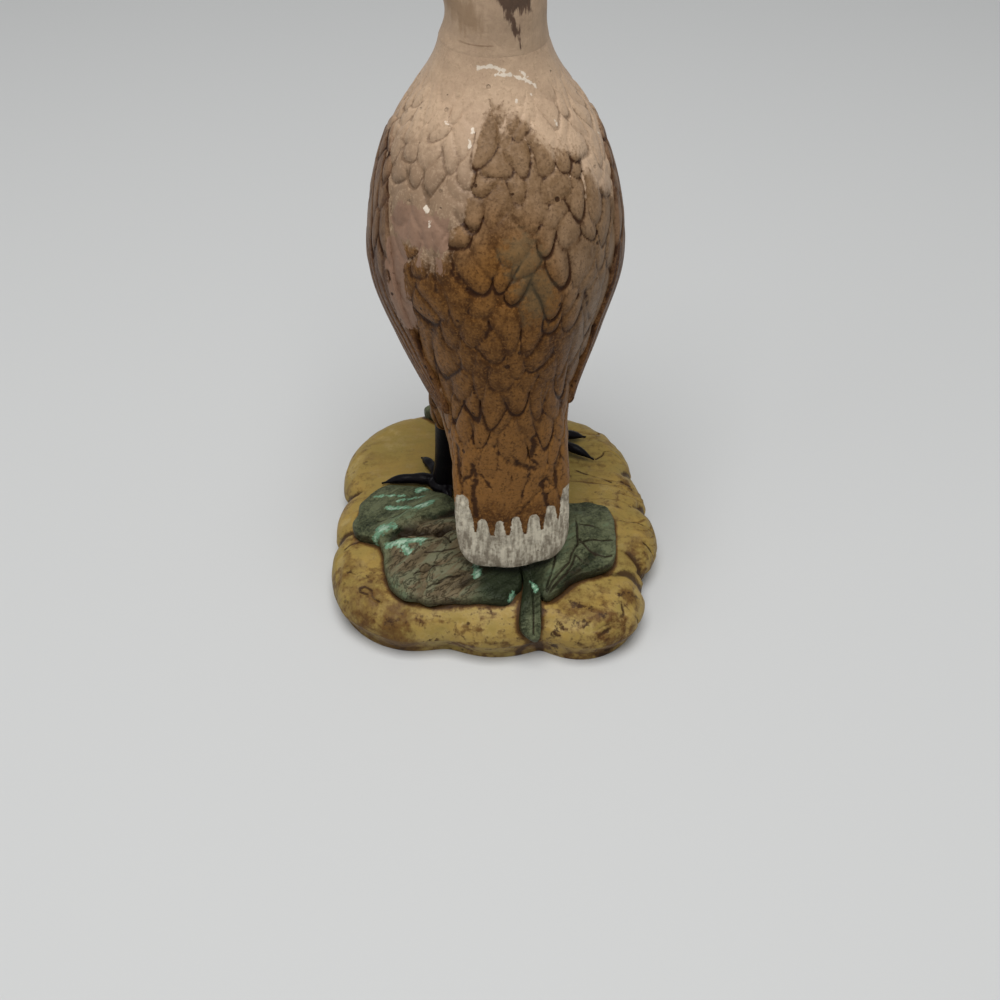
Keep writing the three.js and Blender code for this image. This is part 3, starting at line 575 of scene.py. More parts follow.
# Leaves and stem: thick pads of clay pressed onto the rock, folded, crumpled and veined. They are
# stained grey-green and dry-brushed with mint on the folds; the left one is rubbed grey in the middle.
LUTE = 0.0003
LEAF_THICKNESS = 0.004
LEAF_EDGE = 0.0016
LEAF_SINK = 0.0012
STEM_THICKNESS = 0.0026
LEAF_COLUMNS = 360
LEAF_ROWS = 84
VEIN_WIDTH = 0.00042
VEIN_DEPTH = 0.00045
FOLD_SLANT = math.radians(40)
RUBBED_PLACE = (-0.0150, -0.0275)
RUBBED_REACH = 0.0135
# Where the tail's painted shadow lies darkest on the left leaf, in plan.
TAIL_SHADOW_PLACE = (0.004, -0.036)
LEAF_GREEN = (0.132, 0.144, 0.076, 1)
LEAF_DEEP = (0.013, 0.018, 0.007, 1)
LEAF_MINT = (0.170, 0.340, 0.215, 1)
LEAF_GLINT = (0.420, 0.560, 0.420, 1)
LEAF_GREY = (0.155, 0.110, 0.062, 1)
LEAF_BROWN = (0.040, 0.027, 0.013, 1)
LEAF_SHADE = (0.022, 0.013, 0.006, 1)
# Folds in plan: from, to, half width and height.
LEFT_FOLDS = [
    ((-0.0350, -0.0196), (-0.0168, -0.0055), 0.0016, 0.0013),
    ((-0.0335, -0.0150), (-0.0185, -0.0035), 0.0009, 0.0005),
    ((-0.0300, -0.0212), (-0.0120, -0.0098), 0.0019, -0.0012),
    ((-0.0268, -0.0189), (-0.0166, -0.0196), 0.0015, -0.0013),
    ((-0.0166, -0.0196), (-0.0105, -0.0175), 0.0012, -0.0012),
    ((-0.0300, -0.0230), (-0.0205, -0.0245), 0.0024, 0.0012),
    ((-0.0225, -0.0240), (-0.0040, -0.0190), 0.0022, 0.0009),
    ((-0.0205, -0.0325), (-0.0035, -0.0245), 0.0010, -0.0007),
    ((-0.0170, -0.0375), (0.0000, -0.0305), 0.0010, -0.0006),
    ((-0.0150, -0.0345), (-0.0015, -0.0275), 0.0012, 0.0006),
    ((-0.0262, -0.0370), (-0.0245, -0.0385), 0.0045, 0.0014),
    ((-0.0212, -0.0410), (-0.0195, -0.0315), 0.0010, -0.0010),
    ((-0.0180, -0.0395), (-0.0165, -0.0330), 0.0012, 0.0007),
    ((-0.0090, -0.0385), (0.0035, -0.0400), 0.0035, 0.0007),
]
RIGHT_FOLDS = [
    ((0.0130, -0.0390), (0.0240, -0.0120), 0.0022, 0.0009),
    ((0.0180, -0.0370), (0.0290, -0.0250), 0.0018, -0.0006),
    ((0.0320, -0.0100), (0.0330, -0.0270), 0.0018, 0.0005),
]
FRONT_FOLDS = [((-0.0230, 0.0410), (0.0020, 0.0400), 0.0016, 0.0008)]
STEM_FOLDS = [((0.0095, -0.0330), (0.0090, -0.0480), 0.0012, 0.0006)]
# Veins in plan, scored into the clay.
RIGHT_VEINS = [
    [(0.0141, -0.0408), (0.0170, -0.0356), (0.0208, -0.0293), (0.0230, -0.0242), (0.0228, -0.0199),
     (0.0219, -0.0130)],
    [(0.0234, -0.0165), (0.0293, -0.0160), (0.0333, -0.0171)],
    [(0.0236, -0.0235), (0.0285, -0.0215), (0.0330, -0.0203)],
    [(0.0231, -0.0221), (0.0262, -0.0258), (0.0303, -0.0273), (0.0324, -0.0262)],
    [(0.0141, -0.0408), (0.0158, -0.0347), (0.0164, -0.0285), (0.0150, -0.0200)],
    [(0.0152, -0.0400), (0.0198, -0.0336), (0.0225, -0.0281), (0.0262, -0.0300)],
]
LEFT_VEINS = [
    [(-0.0345, -0.0130), (-0.0290, -0.0128), (-0.0215, -0.0075)],
    [(-0.0240, -0.0300), (-0.0200, -0.0275), (-0.0150, -0.0270), (-0.0080, -0.0235)],
    [(-0.0225, -0.0345), (-0.0170, -0.0310), (-0.0110, -0.0300)],
    [(-0.0260, -0.0205), (-0.0215, -0.0225), (-0.0160, -0.0215), (-0.0130, -0.0235)],
    [(-0.0190, -0.0385), (-0.0150, -0.0355), (-0.0120, -0.0350), (-0.0090, -0.0330)],
]
FRONT_VEINS = [
    [(0.0020, 0.0400), (-0.0100, 0.0385), (-0.0210, 0.0400)], [(-0.0080, 0.0387), (-0.0140, 0.0350)],
]
STEM_VEINS = [[(0.0088, -0.0300), (0.0100, -0.0370), (0.0094, -0.0470)]]
# Where the brush left mint, whose strongest strokes are painted glints, a painted highlight: runs in plan,
# with a half width.
MINT_AND_GLINT_RUNS = [
    ((-0.0234, -0.0005), (-0.0197, 0.0010), 0.0011), ((-0.0365, -0.0018), (-0.0270, -0.0030), 0.0004),
    ((-0.0290, -0.0052), (-0.0215, -0.0038), 0.0005), ((-0.0313, -0.0083), (-0.0245, -0.0100), 0.0009),
    ((-0.0229, -0.0098), (-0.0184, -0.0078), 0.0009), ((-0.0348, -0.0194), (-0.0290, -0.0165), 0.0008),
    ((-0.0335, -0.0171), (-0.0322, -0.0168), 0.0011), ((-0.0307, -0.0226), (-0.0211, -0.0238), 0.0013),
    ((-0.0260, -0.0248), (-0.0245, -0.0268), 0.0012), ((-0.0051, -0.0285), (-0.0050, -0.0345), 0.0010),
    ((0.0046, -0.0392), (0.0038, -0.0412), 0.0007), ((0.0100, -0.0364), (0.0112, -0.0386), 0.0008),
]


def off_rock(x, y, off):
    """Points square off the rock's upper skin, over plan points."""
    step = LUTE
    slope_x = (rock_top(x + step, y) - rock_top(x - step, y)) / (2 * step)
    slope_y = (rock_top(x, y + step) - rock_top(x, y - step)) / (2 * step)
    square = np.stack([-slope_x, -slope_y, np.ones_like(x)], -1)
    square = square / np.linalg.norm(square, axis=-1, keepdims=True)
    return np.stack([x, y, rock_top(x, y)], -1) + square * off[..., None]


def vein_lines(plan, veins):
    """Nearness to scored veins."""
    far = np.min([run_distance(plan, *run) for vein in veins for run in zip(vein, vein[1:])], axis=0)
    return np.exp(-(far / VEIN_WIDTH) ** 2)


def pad_rows(brink, brim_rows, top, top_rows):
    """Rows of a pad from the middle of its under side, round its rim and over its top: share of the way
    out to the rim, and 0 under to 1 over."""
    under = [(share, 0.0) for share in np.linspace(0, brink, 4)]
    turns = np.linspace(0.2, math.pi, brim_rows)
    brim = [(brink + (1 - brink) * math.sin(t), (1 - math.cos(t)) / 2) for t in turns]
    over = [(share, 1.0) for share in np.linspace(top, 0, top_rows)]
    return np.array(under + brim + over).T[:, :, None]


def leaf(name, bed, thickness, folds, crumple, veins, seed, finish):
    """A pad on the rock, crumpled, folded and veined."""
    turn = np.linspace(0, 1, LEAF_COLUMNS + 1)
    rim = through(np.array(bed) * ROCK_SIZE / 2, turn, closed=True)
    middle = rim[:-1].mean(0)
    share, side = pad_rows(0.96, 11, 0.945, LEAF_ROWS)
    plan = middle + share[..., None] * (rim - middle)
    ragged = grain(np.concatenate([rim, 0 * rim[:, :1]], -1), 0.0035, seed)
    plan = middle + (plan - middle) * (1 + 0.04 * share**3 * ragged)[..., None]
    x, y = plan[..., 0], plan[..., 1]
    flat = np.concatenate([plan, 0 * plan[..., :1]], -1)
    c, s = math.cos(FOLD_SLANT), math.sin(FOLD_SLANT)
    slanted = np.stack([(x * c + y * s) * 0.35, y * c - x * s, 0 * x], -1)
    rubbed = np.hypot(x - RUBBED_PLACE[0], (y - RUBBED_PLACE[1]) * 1.05)
    bare = np.clip(1 + (RUBBED_REACH - rubbed) / 0.006, 0, 2) * (x < 0.008)
    loose = 0.25 + 0.75 * np.clip(bare, 0, 1)
    pucker = 1 - 2 * np.abs(grain(slanted, 0.0030, seed + 1))
    wave = grain(flat, 0.0075, seed + 2)
    fine = grain(slanted, 0.0012, seed + 3)
    relief = crumple * loose * (0.55 * pucker + 0.5 * wave) + 0.0001 * fine
    bent = plan + 0.0010 * np.stack([grain(flat, 0.006, seed + 4), grain(flat, 0.006, seed + 5)], -1)
    for start, end, width, height in folds:
        relief = relief + height * np.exp(-((run_distance(bent, start, end) / width) ** 2))
    bent = plan + 0.0006 * np.stack([wave, grain(flat, 0.003, seed + 6)], -1)
    vein = vein_lines(bent, veins) * (0.5 + 0.5 * ease(grain(flat, 0.004, seed + 7), -0.4, 0.2))
    top = LUTE + thickness + (LEAF_EDGE - thickness) * share**2
    inner = ease(-share, -1.0, -0.86)
    height = top + (relief * inner - VEIN_DEPTH * vein + 0.0003 * (1 - inner)) * (side > 0.4)
    off = -LEAF_SINK + side * (LEAF_SINK + height)
    # The dark mark is the tail's painted shadow on the left leaf.
    tail_shadow_far = np.hypot((x - TAIL_SHADOW_PLACE[0]) * 0.8, y - TAIL_SHADOW_PLACE[1])
    return wrapped(
        name, off_rock(x, y, off), finish,
        proud=np.clip(0.5 + 420 * relief + 0.25 * pucker * loose, 0, 1), vein=vein * side, bare=bare,
        mint=run_field(plan, MINT_AND_GLINT_RUNS, 0.0015), rim=ease(share, 0.84, 1.0) + 0 * x,
        dark=ease(-tail_shadow_far, -0.0125, -0.005) * ease(x, -0.014, -0.004),
    )


def leaf_finish():
    finish, place = new_finish("leaf_stain")
    cloud = place.noise(0.010, 4)
    blotch = place.noise(0.0030, 5)
    speck = place.noise(0.0008, 3)
    turned = place.node("ShaderNodeMapping", {}, {"Vector": place, "Rotation": (0, 0, -FOLD_SLANT)})
    brush = turned.noise(0.0013, 4, (0.22, 1.0, 1.0))
    wrinkle = turned.noise(0.0026, 4, (0.30, 1.0, 1.0))
    proud = place.mark("proud")
    # Raised parts lighter and low parts darker green: painted highlight and shade.
    tone = cloud * 0.6 + blotch * 0.4 + (proud - 0.5) * 0.6 + (speck - 0.5) * 0.5
    colour = tone.step(0.30, 0.70).mix(LEAF_DEEP, LEAF_GREEN)
    bare = (place.mark("bare") + (blotch - 0.5) * 0.8 + (proud - 0.5) * 0.4).step(0.35, 1.15)
    # In the rubbed middle the lumps are grey and the dips brown: painted highlight and shade over the
    # rubbed grey.
    lump_highlight = (proud * 0.8 + wrinkle * 0.8 + blotch * 0.3 + (speck - 0.5) * 0.3).step(0.62, 1.25)
    colour = (bare * 0.85).mix(colour, lump_highlight.mix(LEAF_BROWN, LEAF_GREY))
    colour = (((proud - 0.5) + (brush - 0.5) * 1.2).step(0.3, 0.6) * 0.16).mix(colour, LEAF_MINT)
    # Painted shade in the hollows, then in the creases of the wrinkles.
    low = (0.5 - proud) * 1.5 + (blotch - 0.5) * 1.1 + (speck - 0.5) * 0.6
    colour = (low.step(0.10, 0.55) * 0.88).mix(colour, LEAF_SHADE)
    crease_shade = (place.maths("ABSOLUTE", wrinkle - 0.5, 0) + (speck - 0.5) * 0.03).step(0.030, 0.004)
    colour = (crease_shade * (0.1 + 0.5 * bare)).mix(colour, LEAF_SHADE)
    colour = ((place.mark("vein") + (speck - 0.5) * 0.5).step(0.35, 0.9) * 0.85).mix(colour, LEAF_SHADE)
    # The leaf's rim is darkened with brown wash and painted shade where it meets the rock.
    wash = (place.mark("rim") + (blotch - 0.5) * 1.0).step(0.75, 1.2)
    colour = (wash * 0.65).mix(colour, LEAF_SHADE)
    # Painted shadow of the tail over the left leaf.
    colour = (place.mark("dark") * 0.96).mix(colour, LEAF_DEEP)
    mint = place.mark("mint") + (brush - 0.5) * 2.4 + (speck - 0.5) * 1.2
    colour = (mint.step(0.90, 1.20) * 0.85).mix(colour, LEAF_MINT)
    # The strongest of the mint turns to a painted glint, a painted highlight.
    glint = place.mark("mint") + (brush - 0.5) * 2.8 + (blotch - 0.5) * 1.4
    colour = (glint.step(1.35, 1.6) * 0.8).mix(colour, LEAF_GLINT)
    rough = 0.44 - 0.12 * cloud + 0.12 * speck
    height = blotch * 0.5 + speck * 0.3 + brush * 0.3 + wrinkle * 0.7 - crease_shade * 0.25
    surface(place, colour, rough, 0.11, height, 0.0009)
    return finish


leaf_green = leaf_finish()
LEAVES = [
    ("leaf_left", LEFT_LEAF, LEAF_THICKNESS, LEFT_FOLDS, 0.0011, LEFT_VEINS, 21),
    ("leaf_right", RIGHT_LEAF, LEAF_THICKNESS, RIGHT_FOLDS, 0.0006, RIGHT_VEINS, 31),
    ("leaf_front", FRONT_LEAF, LEAF_THICKNESS, FRONT_FOLDS, 0.0008, FRONT_VEINS, 41),
    ("leaf_stem", STEM_BED, STEM_THICKNESS, STEM_FOLDS, 0.0005, STEM_VEINS, 51),
]
for node, bed, thickness, folds, crumple, veins, seed in LEAVES:
    pressed = leaf(node + "_pressed", bed, thickness, folds, crumple, veins, seed, leaf_green)
    settle(pressed, "leaf_green", node)


# Legs and feet: rolled rods of clay set into blind holes in the rock, each with a flattened foot of
# four tapered toes luted over it. They are dipped in black glaze, so they are the shiniest pieces.
LEG_RADIUS = 0.0033
LEG_LEAN = 0.88
LEG_TOP = 0.047
LEG_SOCKET = 0.004
TOE_LENGTH = 0.018
TOE_RADIUS = 0.0021
CLAW_RADIUS = 0.0004
HUB_RADIUS = 0.0048
GLAZE_FLOW = 0.0003
GLAZE_BLACK = (0.004, 0.003, 0.004, 1)
GLAZE_WORN = (0.011, 0.008, 0.008, 1)
# Foot's place on the rock, then its toes: degrees from +X and share of the toe length.
FEET = {
    "left": ((-0.016, 0.0045), [(174, 1.08), (121, 0.82), (62, 0.9), (283, 0.5)]),
    "right": ((0.013, 0.025), [(-24, 1.08), (12, 0.9), (98, 0.9), (222, 0.5)]),
}


def tube(line, radius, columns=40):
    """A closed round tube along a line of points that lies across +Z or climbs it."""
    way = np.gradient(line, axis=0)
    way = way / np.linalg.norm(way, axis=-1, keepdims=True)
    guide = np.array([1.0, 0, 0]) if abs(way[len(way) // 2][2]) > 0.7 else np.array([0, 0, 1.0])
    right = np.cross(way, guide)
    right = right / np.linalg.norm(right, axis=-1, keepdims=True)
    up = np.cross(right, way)
    turn = np.linspace(0, 2 * math.pi, columns + 1)[:, None]
    ring = right[:, None] * np.cos(turn) + up[:, None] * np.sin(turn)
    points = line[:, None] + ring * radius[:, None, None]
    ends = [np.broadcast_to(line[k], points[:1].shape) for k in (0, -1)]
    return np.concatenate([ends[0], points, ends[1]])


def glaze_finish():
    finish, place = new_finish("black_glaze")
    cloud = place.noise(0.004, 4)
    speck = place.noise(0.0008, 3)
    colour = (cloud * 0.7 + speck * 0.5).step(0.62, 0.85).mix(GLAZE_BLACK, GLAZE_WORN)
    surface(place, colour, 0.26 + 0.18 * cloud, 0.08, cloud + speck * 0.2, 0.0003)
    return finish


def foot_form(foot, toes):
    """Hub and toes as overlapping closed lumps, which a remesh then runs together."""
    form = bmesh.new()
    hub = np.array([*foot, rock_top(*foot)])
    made = bmesh.ops.create_uvsphere(form, u_segments=32, v_segments=16, radius=HUB_RADIUS)
    for vert in made["verts"]:
        vert.co = (vert.co.x + hub[0], vert.co.y + hub[1], vert.co.z * 0.55 + hub[2] + 0.0009)
    share = np.linspace(0, 1, 48)
    knuckles = 1 + 0.06 * np.cos(share * 3 * 2 * math.pi) * (share < 0.8)
    radius = np.interp(share, (0, 0.35, 0.78, 0.82, 1), (1, 0.86, 0.62, 0.5, 0)) * TOE_RADIUS * knuckles
    radius = np.maximum(radius, CLAW_RADIUS)
    for degrees, length in toes:
        reach = TOE_LENGTH * length * share
        x = foot[0] + reach * math.cos(math.radians(degrees))
        y = foot[1] + reach * math.sin(math.radians(degrees))
        arch = radius * 0.45 + 0.0012 * np.sin(share * math.pi) * length
        toe = grid_form(tube(np.stack([x, y, rock_top(x, y) + arch], -1), radius, 20))
        bmesh.ops.remove_doubles(toe, verts=toe.verts, dist=WELD)
        bmesh.ops.recalc_face_normals(toe, faces=toe.faces)
        shape = bpy.data.meshes.new("toe")
        toe.to_mesh(shape)
        toe.free()
        form.from_mesh(shape)
        bpy.data.meshes.remove(shape)
    return form


black_glaze = glaze_finish()
for side, (foot, toes) in FEET.items():
    made = finished("foot_" + side + "_glazed", foot_form(foot, toes), black_glaze)
    fuse = made.modifiers.new("run_together", "REMESH")
    fuse.mode = "VOXEL"
    fuse.voxel_size = GLAZE_FLOW
    fuse.use_smooth_shade = True
    soften = made.modifiers.new("glaze_soften", "SMOOTH")
    soften.factor = 0.5
    soften.iterations = 4
    settle(made, "leg_black", "foot_" + side)
    share = np.linspace(0, 1, 90)
    ground = np.array([*foot, rock_top(*foot) - LEG_SOCKET])
    top = np.array([foot[0] * LEG_LEAN, foot[1], LEG_TOP])
    line = ground + share[:, None] * (top - ground)
    girth = LEG_RADIUS * (1 + 0.08 * np.exp(-((share - 0.22) / 0.12) ** 2) + 0.03 * np.sin(share * 9))
    leg = wrapped("leg_" + side + "_glazed", tube(line, girth, 48), black_glaze)
    settle(leg, "leg_black", "leg_" + side)


# Body: one hollow casting from the tail joint up to the neck, with rows of feathers cut into the clay.
# A beige base coat shows at the neck and shoulders and where it is rubbed bare; brown stain lies below.
BIRD_YAW = math.radians(8)
BIRD_SHIFT = np.array([0.0005, 0, 0])
BELLY_Z = 0.046
BODY_HEIGHT = 0.107
BODY_WIDTH = 0.0595
BODY_DEPTH = 0.071
BACK_Y = -0.0325
NECK_DIAMETER = 0.0235
NECK_Y = 0.006
TAIL_WIDTH = 0.031
TAIL_DROP = 0.0225
TAIL_THICKNESS = 0.0045
TAIL_SLANT = 0.45
BODY_ROWS = 264
BODY_COLUMNS = 364
FEATHER_REACH = 1.75
FEATHER_LIFT = 0.00060
FEATHER_GROOVE = 0.00048
FEATHERS_ROUND_TAIL = 14
FEATHERS_ROUND_BODY = 28
# Distance between rows of feathers, against distance down the back from the neck.
PITCH_FROM = (0, 0.040, 0.080, 0.110, 0.140)
PITCH = (0.0052, 0.0060, 0.0080, 0.0105, 0.0115)
NECK_FILLET = 0.00059
RUMP_WEAR = 1.0
BREAST_PARTING = 2.88
VENT_RADIUS = 0.006
VENT_Y = 0.009
VENT_DEPTH = 0.004
FILLET_START = 0.9444
BASE_COAT = (0.545, 0.390, 0.262, 1)
PINK_COAT = (0.440, 0.305, 0.205, 1)
WORN_COAT = (0.285, 0.190, 0.120, 1)
UPPER_STAIN = ((0.165, 0.095, 0.045, 1), (0.285, 0.180, 0.100, 1))
LOWER_STAIN = ((0.068, 0.025, 0.005, 1), (0.215, 0.097, 0.025, 1))
STAIN_SHADE = (0.066, 0.028, 0.009, 1)
STAIN_DEEP = (0.030, 0.010, 0.003, 1)
COAT_SHADE = (0.205, 0.130, 0.076, 1)
BARE_CLAY = (0.300, 0.186, 0.126, 1)
BARE_SHADE = (0.250, 0.150, 0.100, 1)
CHIP_AND_GLINT_WHITE = (0.760, 0.660, 0.540, 1)
GREY_WASH = (0.130, 0.106, 0.058, 1)
STAIN_DUST = (0.300, 0.190, 0.108, 1)
LOWER_DUST = (0.270, 0.126, 0.036, 1)
# Tail sections: shares of width and drop, and how far in and how deep in tail thicknesses.
TAIL_SECTIONS = [
    (0.28, 0.00, -0.49, 0.55), (0.72, 0.08, -0.49, 0.75), (0.93, 0.27, -0.36, 1.0),
    (1.00, 0.65, -0.09, 1.3), (1.00, 1.15, 0.18, 2.0),
]
# Body sections: share of the width, then back and front ends as shares of depth and height.
BODY_SECTIONS = [
    (0.53, 0.02, 0.20, 0.32, 0.025), (0.61, 0.01, 0.33, 0.66, 0.0), (0.82, 0.00, 0.46, 0.91, 0.15),
    (1.00, 0.01, 0.58, 1.00, 0.39), (0.98, 0.07, 0.71, 0.985, 0.62), (0.83, 0.19, 0.83, 0.90, 0.79),
]
NECK_SECTIONS = [(1.36, 0.07), (1.0, 0.0)]
# Upper edge of the stain: degrees round from the back and height.
STAIN_EDGE_TURN = (-180, -100, -82, -62, -48, -38, -30, -24, -21, -16, -11, 8, 18, 28, 44, 50, 66, 110, 180)
STAIN_EDGE_Z = (
    0.118, 0.124, 0.126, 0.112, 0.112, 0.114, 0.118, 0.1225, 0.1262, 0.140, 0.1440, 0.1428, 0.137, 0.133,
    0.1295, 0.1255, 0.120, 0.122, 0.118,
)
# Height where the stain is deepest, against the same degrees; it lies lower on the right flank, which is
# painted lighter there as painted light.
DEEP_STAIN_AND_LIGHT_TURN = (-180, -100, -60, -30, -8, 12, 28, 45, 90, 180)
DEEP_STAIN_AND_LIGHT_Z = (0.086, 0.104, 0.120, 0.117, 0.124, 0.118, 0.099, 0.082, 0.080, 0.086)
# Strokes of dark stain on the back: from and to across the bird and in height, with a half width.
FEATHER_STROKES = [
    ((-0.0110, 0.0577), (-0.0104, 0.0532), 0.0004), ((-0.0104, 0.0532), (-0.0106, 0.0414), 0.0005),
    ((-0.0111, 0.0554), (-0.0137, 0.0517), 0.0001), ((-0.0137, 0.0517), (-0.0142, 0.0470), 0.0001),
    ((-0.0140, 0.0617), (-0.0142, 0.0461), 0.0001), ((-0.0094, 0.0553), (-0.0060, 0.0510), 0.0000),
    ((0.0036, 0.0551), (0.0015, 0.0447), 0.0000), ((0.0069, 0.0482), (0.0023, 0.0429), 0.0000),
    ((0.0087, 0.0526), (0.0075, 0.0508), 0.0003), ((0.0075, 0.0508), (0.0088, 0.0423), 0.0003),
    ((0.0089, 0.0515), (0.0115, 0.0480), 0.0000), ((0.0115, 0.0480), (0.0125, 0.0432), 0.0000),
    ((0.0134, 0.0590), (0.0112, 0.0559), 0.0003), ((0.0112, 0.0559), (0.0117, 0.0479), 0.0003),
    ((-0.0010, 0.0610), (0.0006, 0.0581), 0.0001), ((0.0006, 0.0581), (0.0049, 0.0558), 0.0005),
    ((0.0055, 0.0664), (0.0047, 0.0603), 0.0006), ((0.0045, 0.0598), (0.0068, 0.0553), 0.0000),
    ((-0.0050, 0.0644), (-0.0049, 0.0643), 0.0003),
    ((-0.0184, 0.1285), (-0.0187, 0.1262), 0.0002), ((-0.0126, 0.1260), (-0.0109, 0.1238), 0.0002),
    ((-0.0109, 0.1238), (-0.0085, 0.1237), 0.0002), ((-0.0176, 0.1195), (-0.0178, 0.1142), 0.0002),
    ((-0.0178, 0.1142), (-0.0174, 0.1080), 0.0001), ((-0.0145, 0.1133), (-0.0119, 0.1113), 0.0001),
    ((-0.0119, 0.1113), (-0.0096, 0.1087), 0.0000), ((0.0169, 0.1059), (0.0193, 0.0956), 0.0001),
]
# Places rubbed bare, chipped or greyed, and white glints painted as highlights among the chips: runs
# between two points, with a half width.
BARE_RUNS = [
    ((-0.0225, -0.0170, 0.1130), (-0.0208, -0.0181, 0.0950), 0.0032),
    ((-0.0205, -0.0165, 0.1200), (-0.0130, -0.0226, 0.1208), 0.0043),
    ((-0.0118, -0.0238, 0.1195), (-0.0114, -0.0256, 0.1132), 0.0014),
    ((-0.0160, -0.0215, 0.1180), (-0.0165, -0.0222, 0.1130), 0.0012),
]
CHIP_AND_GLINT_RUNS = [
    ((-0.0036, -0.0064, 0.1510), (-0.0010, -0.0065, 0.1515), 0.00030),
    ((-0.0010, -0.0065, 0.1515), (0.0017, -0.0068, 0.1508), 0.00045),
    ((0.0000, -0.0073, 0.1501), (0.0043, -0.0068, 0.1495), 0.00025),
    ((0.0043, -0.0068, 0.1495), (0.0085, -0.0061, 0.1472), 0.00045),
    ((0.0054, -0.0060, 0.1502), (0.0072, -0.0057, 0.1490), 0.00020),
    ((0.0046, -0.0094, 0.1453), (0.0047, -0.0096, 0.1450), 0.00030),
    ((0.0076, -0.0075, 0.1460), (0.0079, -0.0075, 0.1457), 0.00025),
    ((0.0132, -0.0091, 0.1402), (0.0135, -0.0091, 0.1399), 0.00025),
    ((0.0234, -0.0003, 0.1335), (0.0240, 0.0006, 0.1327), 0.00020),
    ((-0.0105, -0.0108, 0.1410), (-0.0098, -0.0114, 0.1408), 0.00015),
    ((-0.0050, -0.0133, 0.1408), (-0.0050, -0.0140, 0.1400), 0.00030),
    ((-0.0053, -0.0152, 0.1386), (-0.0055, -0.0158, 0.1380), 0.00030),
    ((-0.0156, -0.0198, 0.1253), (-0.0154, -0.0201, 0.1248), 0.00055),
    ((-0.0147, -0.0219, 0.1228), (-0.0145, -0.0222, 0.1220), 0.00035),
    ((-0.0140, -0.0232, 0.1200), (-0.0139, -0.0234, 0.1196), 0.00025),
]
GREY_RUNS = [((0.0055, -0.0284, 0.1186), (0.0100, -0.0305, 0.1070), 0.0050)]


def skin_ends():
    """Back and front ends of every section from the tail's tip to the neck: half width, y and z."""
    back, front = [], []
    for width, rise, inside, deep in TAIL_SECTIONS:
        half = width * TAIL_WIDTH / 2
        y = BACK_Y + inside * TAIL_THICKNESS
        z = BELLY_Z - TAIL_DROP + rise * TAIL_DROP
        depth = deep * TAIL_THICKNESS
        back.append((half, y, z))
        front.append((half, y + depth, z - TAIL_SLANT * depth))
    for width, back_y, back_z, front_y, front_z in BODY_SECTIONS:
        half = width * BODY_WIDTH / 2
        back.append((half, BACK_Y + back_y * BODY_DEPTH, BELLY_Z + back_z * BODY_HEIGHT))
        front.append((half, BACK_Y + front_y * BODY_DEPTH, BELLY_Z + front_z * BODY_HEIGHT))
    for width, below in NECK_SECTIONS:
        half = width * NECK_DIAMETER / 2
        z = BELLY_Z + BODY_HEIGHT * (1 - below)
        back.append((half, NECK_Y - half, z))
        front.append((half, NECK_Y + half, z))
    return back, front


def skin(ends, u, turn, grow=0.0):
    """Points on a skin: u runs along its sections, turn is 0 at the back and grows to the right."""
    back, front = (through(end, u) for end in ends)
    deep = front[..., 1:] - back[..., 1:]
    reach = np.linalg.norm(deep, axis=-1, keepdims=True)
    middle = (back[..., 1:] + front[..., 1:]) / 2
    grow = np.asarray(grow)[..., None]
    spot = middle - np.cos(turn)[..., None] * (reach / 2 + grow) * deep / reach
    side = (back[..., :1] + grow) * np.sin(turn)[..., None]
    return np.concatenate([side, spot], -1)


def capped(points):
    """A skin's rows with each end row drawn together at its middle."""
    ends = [np.broadcast_to(points[k, :-1].mean(0), points[:1].shape) for k in (0, -1)]
    return np.concatenate([ends[0], points, ends[1]])


def capped_marks(**marks):
    return {mark: np.concatenate([values[:1], values, values[-1:]]) for mark, values in marks.items()}


def on_rock(points):
    """Points of the bird's own frame as it stands on the rock."""
    c, s = math.cos(BIRD_YAW), math.sin(BIRD_YAW)
    return points @ np.array([[c, s, 0], [-s, c, 0], [0, 0, 1]]) + BIRD_SHIFT


def chance(column, rank, kind):
    """A number from 0 to 1 of a feather's own."""
    return np.mod(np.sin(column * 12.9898 + rank * 78.233 + kind * 37.719) * 43758.5453, 1)


